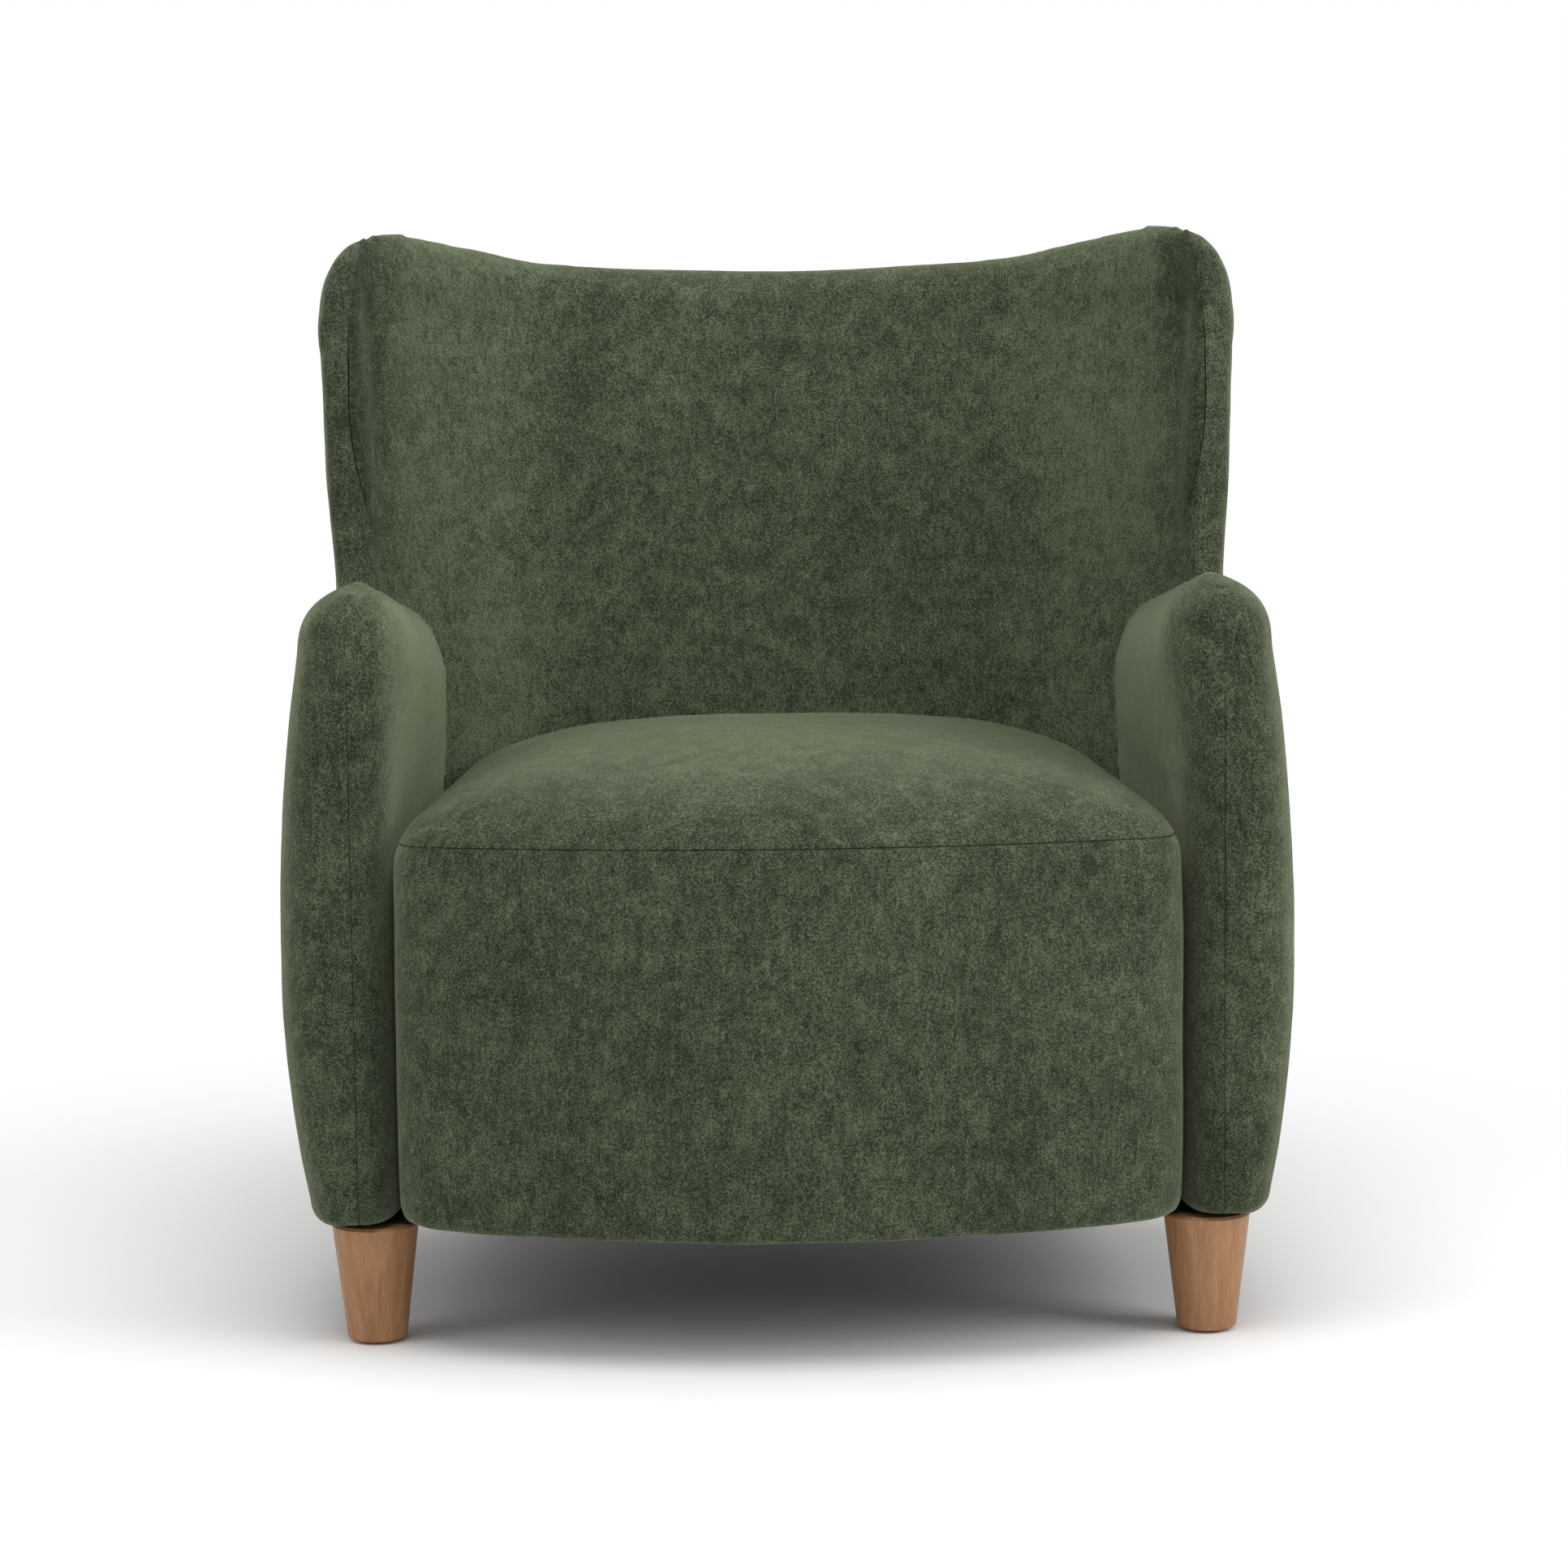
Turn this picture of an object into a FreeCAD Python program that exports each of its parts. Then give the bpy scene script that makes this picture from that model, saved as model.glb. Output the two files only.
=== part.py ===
"""Wingback armchair: a sprung seat, two arms and a winged back, upholstered apart and bolted together.

Millimetres. X to the sitter's left as seen from the front (right in a front view), Y to the rear, Z up.
The origin is on the floor, under the middle of the chair's box.
"""

import FreeCAD
import Part
import math
import os

Vec = FreeCAD.Vector

# Overall sizes
WIDTH = 786.0
HALF = WIDTH / 2
ARM_HEIGHT = 590.0
WING_HEIGHT = 857.0
CREST_DIP = 31.0
LEG_HEIGHT = 94.0

# Cloth, clearances and common stock
COVER = 2.0
FIT = 0.3
FOAM_GAP = 1.0
UNDER_GAP = 0.3
DUST_COVER = 1.0
RAIL = 20.0
RAIL_DEEP = 28.0

# Seat
SEAT_FRONT = -415.0
SEAT_BOW = 74.0
SEAM_HEIGHT = 388.0
SEAT_CROWN = 75.0
SEAT_CORNER = 30.0
SEAT_SIDE_GAP = 1.5
SEAT_PITCH = 0.05
SEAT_LEVEL_DEPTH = 185.0
SEAT_REAR = 165.0
RAIL_DROP = 63.0
RAIL_TOP = SEAM_HEIGHT - RAIL_DROP
SEAT_PADDING = 22.0

# Arms
ARM_FRONT = -335.0
ARM_NOSE = 50.0
ARM_NOSE_INSET = 30.0
ARM_THICK = 89.0
SEAT_CLEAR = HALF - ARM_THICK
ARM_TAPER = 20.0
ARM_LEAN = 14.0
ARM_TUCK = 17.0
ARM_DROP = 52.0
ARM_WIDE_HEIGHT = 300.0
ARM_POST = 32.0
ARM_POST_DEEP = 40.0
ARM_POST_SET_IN = 22.0
ARM_POST_X = SEAT_CLEAR + ARM_POST_SET_IN

# Back and wings
BACK_LEVEL = 450.0
BACK_FRONT = 155.0
BACK_LUMBAR = 5.0
BACK_RECLINE = 0.22
WING_RECLINE = 0.15
WING_FRONT = 16.0
BACK_THICK = 122.0
BACK_THICK_TOP = 92.0
FRAME_SET_IN = 28.0
STILE = 40.0
STILE_SET_IN = 257.0
STILE_X = HALF - STILE_SET_IN
STILE_DEEP = 30.0

# Legs and their fixings
LEG_TOP_RADIUS = 33.5
LEG_FOOT_RADIUS = 23.0
LEG_EDGE = 2.0
GLIDE_RADIUS = 14.0
GLIDE_THICK = 2.0
FRONT_LEG_IN = 70.0
FRONT_LEG_BEHIND = 48.0
REAR_LEG_IN = 153.0
REAR_LEG_AHEAD = 47.0
FRONT_LEG = (HALF - FRONT_LEG_IN, ARM_FRONT + FRONT_LEG_BEHIND)
REAR_LEG = (HALF - REAR_LEG_IN, BACK_FRONT - REAR_LEG_AHEAD)
BOLT_RADIUS = 4.0
NUT_FLANGE_RADIUS = 9.0
NUT_BARREL_RADIUS = 5.5
NUT_BARREL = 12.0

# Springs and webbing
SPRING_WIRE = 3.8
SPRING_WIDTH = 52.0
SPRING_PITCH = 21.0
SPRING_COUNT = 5
SPRING_FIELD = 2 * (SEAT_CLEAR - 54.0)
SPRING_SPACING = SPRING_FIELD / SPRING_COUNT
CLIP_PLATE = 1.5
PAD_THICK = 4.0
STRAP = 50.0
STRAP_THICK = 2.0

BOTTOM = LEG_HEIGHT + DUST_COVER + UNDER_GAP


# Small helpers


def bow(a, b, c):
    """An arc through three points, or a straight edge where they are in line."""
    if (b - a).cross(c - a).Length < 1e-4 * (c - a).Length:
        return Part.LineSegment(a, c).toShape()
    return Part.Arc(a, b, c).toShape()


def straight(a, b):
    return Part.LineSegment(a, b).toShape()


def block(x0, x1, y0, y1, z0, z1):
    return Part.makeBox(x1 - x0, y1 - y0, z1 - z0, Vec(x0, y0, z0))


def prism(points, z0, z1):
    """A polygon given in plan, raised from z0 to z1."""
    corners = [Vec(x, y, z0) for x, y in points]
    return Part.Face(Part.makePolygon(corners + corners[:1])).extrude(Vec(0, 0, z1 - z0))


def ring(x0, x1, y0, y1, z):
    """Four corners in plan at a height, or at the height that z gives for each y."""
    level = z if callable(z) else lambda y: z
    return [(x, y, level(y)) for x, y in ((x0, y0), (x1, y0), (x1, y1), (x0, y1))]


def ruled_solid(low, high):
    """A straight-sided solid between two rings of corners."""
    loops = [Part.makePolygon([Vec(*p) for p in corners + corners[:1]]) for corners in (low, high)]
    return Part.makeLoft(loops, True, True)


def soft_loft(sections):
    """A smooth solid through the sections. Its low degree keeps it from swinging out between them."""
    return Part.makeLoft(sections, True, False, False, 2)


def rod(start, end, radius):
    a, b = Vec(*start), Vec(*end)
    return Part.makeCylinder(radius, (b - a).Length, a, b - a)


def mirrored(shape):
    return shape.mirror(Vec(0, 0, 0), Vec(1, 0, 0))


def both(shape):
    return [shape, mirrored(shape)]


def group(shapes):
    return Part.makeCompound(shapes)


def less(shape, *cutters):
    for cutter in cutters:
        shape = shape.cut(cutter)
    return shape


def biggest(shape):
    return max(shape.Solids, key=lambda s: s.Volume)


def between(a, b, share):
    return a + (b - a) * share


# The arm's outer form

ARM_REAR_INNER = BACK_FRONT - 51.0
ARM_REAR_OUTER = WING_FRONT + 16.0


def arm_inner(y):
    """Half the clear width between the arms at the seat, at a place along the arm."""
    return SEAT_CLEAR - ARM_TAPER * (y - ARM_FRONT) / (ARM_REAR_INNER - ARM_FRONT)


def arm_section(share, skin, inset, nose):
    """The arm's petal outline, shrunk by skin and by a further inset that rounds the nose.

    share runs from 0 at the nose to 1 at the rear, and nose is how far behind the tip the section stands.
    """
    y_outer = between(ARM_FRONT, ARM_REAR_OUTER, share) + nose * (1 - share)
    slant = (ARM_REAR_OUTER - ARM_REAR_INNER) / (HALF - SEAT_CLEAR) * share
    lean_back = WING_RECLINE * share
    y_inner = y_outer + slant * (SEAT_CLEAR - ARM_TAPER * share - HALF)
    inner = arm_inner(y_inner + lean_back * (BOTTOM - BACK_LEVEL))
    lean = ARM_LEAN * (1 - share)
    bulge = (share - 0.45) / 0.55
    outer = HALF - 28.0 * max(0.0, bulge) ** 2 - 5.0 * min(0.0, bulge) ** 2
    top = ARM_HEIGHT - ARM_DROP * share
    e = skin + inset
    foot = BOTTOM + skin + 0.2 * (e - skin)
    corner = max(0.25, 1 - e / 40)
    peak = inner + 24.0
    wide = ARM_WIDE_HEIGHT
    shoulder = outer - 19.0
    tuck = outer - ARM_TUCK

    def at(x, z):
        return Vec(x, y_outer + slant * (x - HALF) + lean_back * (z - BACK_LEVEL), z)

    inner_foot = at(inner + e, foot + 12 * corner)
    knee = SEAM_HEIGHT - 8.0
    inner_knee = at(inner + e, knee)
    inner_top = at(inner - lean + e, top - 70)
    crown = at(peak, top - e)
    outer_top = at(shoulder - e, top - 55)
    outer_wide = at(outer - e, wide)
    outer_foot = at(tuck - e, foot + 18 * corner)
    sole_outer = at(tuck - e - 18 * corner, foot)
    sole_inner = at(inner + e + 12 * corner, foot)
    return Part.Wire([
        straight(inner_foot, inner_knee),
        bow(inner_knee, at(inner - 0.35 * lean + e, between(knee, top - 70, 0.5)), inner_top),
        bow(inner_top, at(inner - lean + 10 + 0.75 * e, top - 22 - 0.6 * e), crown),
        bow(crown, at(peak + 29 - 0.75 * e, top - 17 - 0.6 * e), outer_top),
        bow(outer_top, at(outer - 4.5 - e, between(top - 55, wide, 0.5)), outer_wide),
        bow(outer_wide, at(outer - 4.5 - e, between(wide, foot, 0.5)), outer_foot),
        bow(outer_foot, at(tuck - e - 5.3 * corner, foot + 5.3 * corner), sole_outer),
        straight(sole_outer, sole_inner),
        bow(sole_inner, at(inner + e + 3.6 * corner, foot + 3.6 * corner), inner_foot),
    ])


def arm_form(skin):
    """The right arm, shrunk by skin all round. Its rear end is left long, to be trimmed by the back."""
    nose = [(1.0, 0.0), (0.66, 0.08), (0.35, 0.26), (0.12, 0.56), (0.0, 1.0)]
    room = ARM_NOSE_INSET - skin
    sections = [arm_section(0, skin, room * inset, skin + ARM_NOSE * y) for inset, y in nose]
    sections += [arm_section(share, skin, 0, ARM_NOSE) for share in (0.1, 0.25, 0.45, 0.72, 1.0)]
    return soft_loft(sections)


# The back's outer form


def back_stations():
    """Stations along the back from its middle to the wing's front edge, seen in plan at seat level.

    Each has its place on the front face, the turn of its plane, its recline, how far the front face and the
    rear face stand from that place at the foot, the middle and the top, its height, and its two shoulders.
    """
    tip = WING_HEIGHT
    mid = WING_HEIGHT - CREST_DIP
    lumbar = -BACK_LUMBAR
    thick, top = BACK_THICK, BACK_THICK_TOP
    front = BACK_FRONT
    wing = WING_FRONT
    half = HALF
    full, steep = BACK_RECLINE, WING_RECLINE
    return [
        (0, front, 0, full, (0, lumbar, 0), (thick - 7, thick, top), mid, (26, 30), 55),
        (110, front - 5, 5, full, (0, lumbar, 0), (thick - 9, thick - 2, top - 2), mid + 2.5, (26, 30), 55),
        (205, front - 21, 16, full - 0.01, (0, lumbar, 0), (thick - 17, thick - 10, top - 8), mid + 10,
         (24, 28), 58),
        (half - 125, front - 50, 36, full - 0.03, (0, lumbar, 1), (84, 92, 74), tip - 10, (18, 24), 64),
        (half - 82, wing + 52, 60, steep + 0.015, (0, -2, 7), (56, 65, 63), tip - 1.5, (9, 18), 80),
        (half - 62, wing + 24, 78, steep, (0, 1, 17), (36, 44, 54), tip - 1, (3, 16), 92),
        (half - 58, wing + 10, 84, steep, (4, 5, 21), (32, 39, 49.5), tip - 6, (3, 15), 92),
        (half - 54, wing, 88, steep, (10, 11, 25), (25, 30, 41), tip - 17, (3, 13), 84),
    ]


def back_section(station, side, skin):
    x, y, turn, recline, front, rear, top, (deep, drop), rear_drop = station
    angle = math.radians(turn) * side
    away = (math.sin(angle), math.cos(angle))
    x *= side
    y += skin if turn > 70 else 0.0

    def at(u, z):
        return Vec(x + u * away[0], y + u * away[1] + recline * (z - BACK_LEVEL), z)

    middle = BACK_LEVEL + 50
    foot, top = BOTTOM + skin, top - skin
    front = [u + skin for u in front]
    rear = [u - skin for u in rear]
    reach = rear[2] - front[2] - deep
    heel = min(18.0, 0.4 * (rear[0] - front[0]))
    front_foot = at(front[0], foot)
    front_top = at(front[2], top - drop)
    crest = at(front[2] + deep, top)
    rear_top = at(rear[2], top - rear_drop)
    rear_foot = at(rear[0], foot + heel)
    sole = at(rear[0] - heel, foot)
    return Part.Wire([
        bow(front_foot, at(front[1], middle), front_top),
        bow(front_top, at(front[2] + 0.293 * deep, top - 0.293 * drop), crest),
        bow(crest, at(rear[2] - 0.293 * reach, top - 0.293 * rear_drop), rear_top),
        bow(rear_top, at(rear[1], middle), rear_foot),
        bow(rear_foot, at(rear[0] - 0.293 * heel, foot + 0.293 * heel), sole),
        straight(sole, front_foot),
    ])


def back_form(skin):
    stations = back_stations()
    left = [back_section(s, -1, skin) for s in reversed(stations[1:])]
    right = [back_section(s, 1, skin) for s in stations]
    return soft_loft(left + right)


def back_seam(station, z):
    """Where the inside panel ends at a station: along the crest, and down the middle of the wing's edge."""
    x, y, turn, recline, front, rear, top, (deep, _), _ = station
    rise = (z - BOTTOM) / (top - BOTTOM)
    near, far = between(front[0], front[2], rise), between(rear[0], rear[2], rise)
    u = max(near + deep, between(near, far, 0.5)) if turn > 70 else near + deep
    angle = math.radians(turn)
    return x + u * math.sin(angle), y + u * math.cos(angle) + recline * (z - BACK_LEVEL)


def back_outside():
    """The room behind the inside panel's seams, past the wings' front edges too."""
    stations = back_stations()
    crest, wing = stations[:5], stations[-1]
    loops = []
    for z in (BOTTOM - 30, WING_HEIGHT + 30):
        right = [back_seam(station, z) for station in crest + [wing]]
        x, y = right[-1]
        right += [(x, y - 60), (WIDTH, y - 60), (WIDTH, WIDTH)]
        left = [(-x, y) for x, y in reversed(right[1:])]
        loops.append([(x, y, z) for x, y in left + right])
    return ruled_solid(*loops)


OUTSIDE_HALF = HALF - 93.0


# The seat's outer form, a block below the seam and a crown above it


def seat_section(z, inset, pitch):
    w = arm_inner(SEAT_FRONT + SEAT_BOW) - SEAT_SIDE_GAP - inset
    full = arm_inner(SEAT_FRONT + SEAT_BOW) - SEAT_SIDE_GAP
    front = SEAT_FRONT + inset
    sag = SEAT_BOW * w / full
    side_y = front + sag
    rear = SEAT_REAR - 0.35 * max(0.0, inset)
    radius = (w * w + sag * sag) / (2 * sag)
    round_off = min(SEAT_CORNER + 0.5 * max(0.0, inset), 0.8 * w)

    def half_width(y):
        return arm_inner(y) - SEAT_SIDE_GAP - inset

    def on_bow(x):
        return front + radius - math.sqrt(radius * radius - x * x)

    def at(x, y):
        return Vec(x, y, z - pitch * (y - SEAT_FRONT - SEAT_LEVEL_DEPTH))

    edges = []
    start = (w - round_off, on_bow(w - round_off))
    corner = (w, side_y)
    end = (half_width(side_y + round_off), side_y + round_off)
    knee = [0.25 * a + 0.5 * c + 0.25 * b for a, c, b in zip(start, corner, end)]
    tail = (half_width(rear), rear)
    edges.append(bow(at(-start[0], start[1]), at(0, front), at(*start)))
    edges.append(bow(at(*start), at(*knee), at(*end)))
    edges.append(straight(at(*end), at(*tail)))
    edges.append(straight(at(*tail), at(-tail[0], tail[1])))
    edges.append(straight(at(-tail[0], tail[1]), at(-end[0], end[1])))
    edges.append(bow(at(-end[0], end[1]), at(-knee[0], knee[1]), at(-start[0], start[1])))
    return Part.Wire(edges)


SEAM_PINCH = 2.5


def seat_block(skin):
    low = [(2, 9.0), (6, 3.5), (15, 0.8), (35, 0.0), (75, -0.5)]
    high = [(75, -0.5), (38, 0.0), (18, 0.3), (8, 0.9), (0, SEAM_PINCH)]
    steps = [(BOTTOM + z, inset) for z, inset in low] + [(between(BOTTOM, SEAM_HEIGHT, 0.5), -0.5)]
    steps += [(SEAM_HEIGHT - z, inset) for z, inset in high]
    return soft_loft([seat_section(z, inset + skin, 0) for z, inset in steps])


def seat_crown(skin):
    steps = [(0.0, SEAM_PINCH), (0.08, 4.5), (0.24, 13.0), (0.42, 28.0), (0.62, 56.0), (0.80, 95.0),
             (0.93, 140.0), (1.0, 190.0)]
    sections = []
    for share, inset in steps:
        z = SEAM_HEIGHT + SEAT_CROWN * share - skin * min(1.0, 4 * share)
        sections.append(seat_section(z, inset + skin, SEAT_PITCH * share))
    return soft_loft(sections)


# Legs and what holds them


def turned(profile, x, y):
    """A solid of revolution about an upright axis from (radius, height) points."""
    corners = [Vec(x + r, y, z) for r, z in profile]
    return Part.Face(Part.makePolygon(corners + corners[:1])).revolve(Vec(x, y, 0), Vec(0, 0, 1), 360)


MOUNT_RAIL_FOOT = BOTTOM + COVER + FOAM_GAP
MOUNT_RAIL_TOP = MOUNT_RAIL_FOOT + RAIL_DEEP
BOLT_TOP = MOUNT_RAIL_TOP + 8.0
BOLT_IN_LEG = 40.0


def leg(x, y):
    foot = GLIDE_THICK
    head = LEG_HEIGHT
    body = turned([(0, foot), (LEG_FOOT_RADIUS - LEG_EDGE, foot), (LEG_FOOT_RADIUS, foot + LEG_EDGE),
                   (LEG_TOP_RADIUS, head - LEG_EDGE), (LEG_TOP_RADIUS - LEG_EDGE, head), (0, head)], x, y)
    return less(body, rod((x, y, LEG_HEIGHT - BOLT_IN_LEG), (x, y, LEG_HEIGHT + 1), BOLT_RADIUS))


def glide(x, y):
    r, edge = GLIDE_RADIUS, 0.3 * GLIDE_THICK
    return turned([(0, 0), (r - edge, 0), (r, edge), (r, GLIDE_THICK), (0, GLIDE_THICK)], x, y)


def hanger_bolt(x, y):
    return rod((x, y, LEG_HEIGHT - BOLT_IN_LEG), (x, y, BOLT_TOP), BOLT_RADIUS)


def tee_nut(x, y):
    top = MOUNT_RAIL_TOP
    barrel = rod((x, y, top - NUT_BARREL), (x, y, top), NUT_BARREL_RADIUS)
    flange = rod((x, y, top), (x, y, top + 1.5), NUT_FLANGE_RADIUS)
    return less(barrel.fuse(flange), leg_hole(x, y, top - NUT_BARREL - 1, top + 2))


def leg_hole(x, y, low, high):
    return rod((x, y, low), (x, y, high), BOLT_RADIUS)


def nut_seat(x, y):
    return rod((x, y, MOUNT_RAIL_TOP - NUT_BARREL), (x, y, MOUNT_RAIL_TOP + 1), NUT_BARREL_RADIUS)


LEGS = {"front_right": FRONT_LEG, "rear_right": REAR_LEG,
        "front_left": (-FRONT_LEG[0], FRONT_LEG[1]), "rear_left": (-REAR_LEG[0], REAR_LEG[1])}


# Arm frame, right side

POST_FRONT = FRONT_LEG[1] + 22.0
POST_REAR = ARM_REAR_OUTER - 118.0
TOP_RAIL_SLOPE = ARM_DROP / (ARM_REAR_OUTER - ARM_FRONT - ARM_NOSE)
TOP_RAIL_FRONT = ARM_HEIGHT - 92.0
BOLT_RAIL_HEIGHT = 50.0
BOLT_RAIL_FOOT = RAIL_TOP - 75.0
SIDE_BOARD = 3.0


def arm_x():
    return ARM_POST_X, ARM_POST_X + ARM_POST


def top_rail_z(y):
    return TOP_RAIL_FRONT - TOP_RAIL_SLOPE * (y - POST_FRONT)


def top_rail_upper(y):
    return top_rail_z(y) + RAIL


def arm_post(y):
    span = (*arm_x(), y, y + ARM_POST_DEEP)
    return ruled_solid(ring(*span, MOUNT_RAIL_TOP), ring(*span, top_rail_z))


def arm_top_rail():
    span = (*arm_x(), POST_FRONT, POST_REAR + ARM_POST_DEEP)
    return ruled_solid(ring(*span, top_rail_z), ring(*span, top_rail_upper))


def bottom_rail_plan(inward):
    near, far = FRONT_LEG[1] - 11.0, POST_REAR + ARM_POST_DEEP
    x0 = arm_inner(near) + 10.5
    return [(x0 - inward, near), (x0 + 40, near), (x0 + 28, far), (x0 - inward, far)]


def arm_bottom_rail():
    rail = prism(bottom_rail_plan(0), MOUNT_RAIL_FOOT, MOUNT_RAIL_TOP)
    return less(rail, leg_hole(*FRONT_LEG, MOUNT_RAIL_FOOT - 1, MOUNT_RAIL_TOP + 1), nut_seat(*FRONT_LEG))


def bottom_rail_room():
    """The foam stops above the bottom rail and on its outer side."""
    return prism(bottom_rail_plan(ARM_POST), BOTTOM, MOUNT_RAIL_TOP)


def arm_bolt_rail():
    x0, foot = arm_x()[0], BOLT_RAIL_FOOT
    return block(x0, x0 + RAIL, POST_FRONT + ARM_POST_DEEP, POST_REAR, foot, foot + BOLT_RAIL_HEIGHT)


def arm_side_board():
    x1 = arm_x()[1]
    span = (x1, x1 + SIDE_BOARD, POST_FRONT, POST_REAR + ARM_POST_DEEP)
    return ruled_solid(ring(*span, MOUNT_RAIL_TOP), ring(*span, top_rail_z))


def arm_pocket():
    """The hollow inside the arm's foam, between its posts and rails."""
    span = (*arm_x(), POST_FRONT, POST_REAR + ARM_POST_DEEP)
    return ruled_solid(ring(*span, MOUNT_RAIL_TOP), ring(*span, top_rail_upper))


# Seat frame


def seat_arc_strip(depth, thick, half_length, z0, z1):
    """A strip of the seat's front curve, set back by depth from the cover's face."""
    w = arm_inner(SEAT_FRONT + SEAT_BOW) - SEAT_SIDE_GAP
    radius = (w * w + SEAT_BOW * SEAT_BOW) / (2 * SEAT_BOW)
    centre = SEAT_FRONT + radius

    def on(r, x):
        return Vec(x, centre - math.sqrt(r * r - x * x), z0)

    r_out, r_in = radius - depth, radius - depth - thick
    right = on(r_out, half_length), on(r_in, half_length)
    left = on(r_in, -half_length), on(r_out, -half_length)
    wire = Part.Wire([
        bow(left[1], on(r_out, 0), right[0]), straight(*right),
        bow(right[1], on(r_in, 0), left[0]), straight(*left)])
    return Part.Face(wire).extrude(Vec(0, 0, z1 - z0))


def seat_rear_line():
    """Where the rear rail's rear face stands, in front of the back at the rail's foot."""
    return BACK_FRONT - 100.0


def frame_half(y):
    return arm_inner(y) - SEAT_SIDE_GAP - COVER - 14.0


SEAT_RAIL_FOOT = RAIL_TOP - 100.0
SEAT_SIDE_START = SEAT_FRONT + SEAT_BOW + SEAT_PADDING


def seat_front_rail():
    return seat_arc_strip(SEAT_PADDING, RAIL, frame_half(SEAT_SIDE_START), MOUNT_RAIL_FOOT + 4, RAIL_TOP)


def seat_side_rail():
    near, far = SEAT_SIDE_START + RAIL, seat_rear_line()
    x0, x1 = frame_half(near), frame_half(far)
    return prism([(x0 - RAIL, near), (x0, near), (x1, far), (x1 - RAIL, far)], SEAT_RAIL_FOOT, RAIL_TOP)


def seat_rear_rail():
    far = seat_rear_line()
    x = frame_half(far) - RAIL
    return block(-x, x, far - RAIL, far, SEAT_RAIL_FOOT, RAIL_TOP)


def seat_cavity(low, high):
    """The room under the foam for the rails and springs."""
    near, far = SEAT_SIDE_START + 4, seat_rear_line()
    w, v = frame_half(SEAT_SIDE_START), frame_half(far)
    strip = seat_arc_strip(SEAT_PADDING, RAIL + SEAT_BOW, w, low, high)
    return strip.fuse(prism([(-w, near), (w, near), (v, far), (-v, far)], low, high))


CORNER_LEG = 60.0
CORNER_FOOT = SEAT_RAIL_FOOT + 25.0
CORNER_TOP = RAIL_TOP - 25.0


def rear_corner_block():
    far = seat_rear_line() - RAIL
    x = frame_half(far) - RAIL - 1.5
    return prism([(x, far), (x - CORNER_LEG, far), (x, far - CORNER_LEG)], CORNER_FOOT, CORNER_TOP)


def front_corner_block():
    near = SEAT_SIDE_START + RAIL + 12.0
    x = frame_half(near + CORNER_LEG) - RAIL - 0.5
    return prism([(x, near), (x, near + CORNER_LEG), (x - CORNER_LEG, near)], CORNER_FOOT, CORNER_TOP)


SPRING_Z = RAIL_TOP + CLIP_PLATE + SPRING_WIRE / 2
PAD_FOOT = RAIL_TOP + 2 * CLIP_PLATE + SPRING_WIRE
PAD_TOP = PAD_FOOT + PAD_THICK
SPRING_FRONT = SEAT_FRONT + SEAT_BOW + 10.0


def sinuous_spring(x):
    """A zigzag of wire that runs from the front rail to the rear rail."""
    turn = SPRING_PITCH / 2
    arm = SPRING_WIDTH / 2 - turn
    rear = seat_rear_line() - RAIL / 2
    runs = int((rear - SPRING_FRONT) / SPRING_PITCH) + 1
    start = rear - (runs - 1) * SPRING_PITCH
    edges = []
    for i in range(runs):
        y = start + i * SPRING_PITCH
        side = 1 if i % 2 == 0 else -1
        a, b = Vec(x - side * arm, y, SPRING_Z), Vec(x + side * arm, y, SPRING_Z)
        edges.append(straight(a, b))
        if i < runs - 1:
            bend = Vec(b.x + side * turn, y + turn, SPRING_Z)
            edges.append(bow(b, bend, Vec(b.x, y + SPRING_PITCH, SPRING_Z)))
    path = Part.Wire(edges)
    first = edges[0].Vertexes[0].Point
    round_wire = Part.Wire(Part.makeCircle(SPRING_WIRE / 2, first, Vec(1, 0, 0)))
    return path.makePipeShell([round_wire], True, False), start, rear


def spring_clip(x, y, facing):
    """A folded plate that holds the end run of a spring. facing is the way its mouth points along Y."""
    half, deep = 12.0, SPRING_WIRE / 2 + 0.2
    end = y + deep + 7.0
    z0 = RAIL_TOP
    z1 = z0 + 2 * CLIP_PLATE + SPRING_WIRE
    body = block(x - half, x + half, y - deep - CLIP_PLATE, end, z0, z1)
    clip = body.cut(block(x - half - 1, x + half + 1, y - deep, end + 1, z0 + CLIP_PLATE, z1 - CLIP_PLATE))
    if facing < 0:
        clip = clip.mirror(Vec(0, y, 0), Vec(0, 1, 0))
    return clip


# Back frame


def frame_y(z, set_in):
    """Where a plane of the back's frame stands at a height, set in from the back's front face."""
    return BACK_FRONT + set_in + BACK_RECLINE * (z - BACK_LEVEL)


def leaning(x0, x1, front, rear, z0, z1):
    """A board in the back's leaning plane, between two depths behind its front face."""
    loops = [ring(x0, x1, frame_y(z, front), frame_y(z, rear), z) for z in (z0, z1)]
    return ruled_solid(*loops)


STILE_TOP = WING_HEIGHT - CREST_DIP - 56.0
FRAME_REAR = FRAME_SET_IN + STILE_DEEP
RAIL_ZONES = {"back_foot_rail": (MOUNT_RAIL_TOP, MOUNT_RAIL_TOP + 60),
              "back_seat_rail": (SEAM_HEIGHT - 58, SEAM_HEIGHT),
              "back_crest_rail": (STILE_TOP - 50, STILE_TOP)}
BACK_BOARD = 3.0
STRAP_MIDDLE = FRAME_SET_IN - STRAP_THICK
STRAP_FRONT = STRAP_MIDDLE - STRAP_THICK


def stile():
    return leaning(STILE_X, STILE_X + STILE, FRAME_SET_IN, FRAME_REAR, MOUNT_RAIL_TOP, STILE_TOP)


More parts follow.
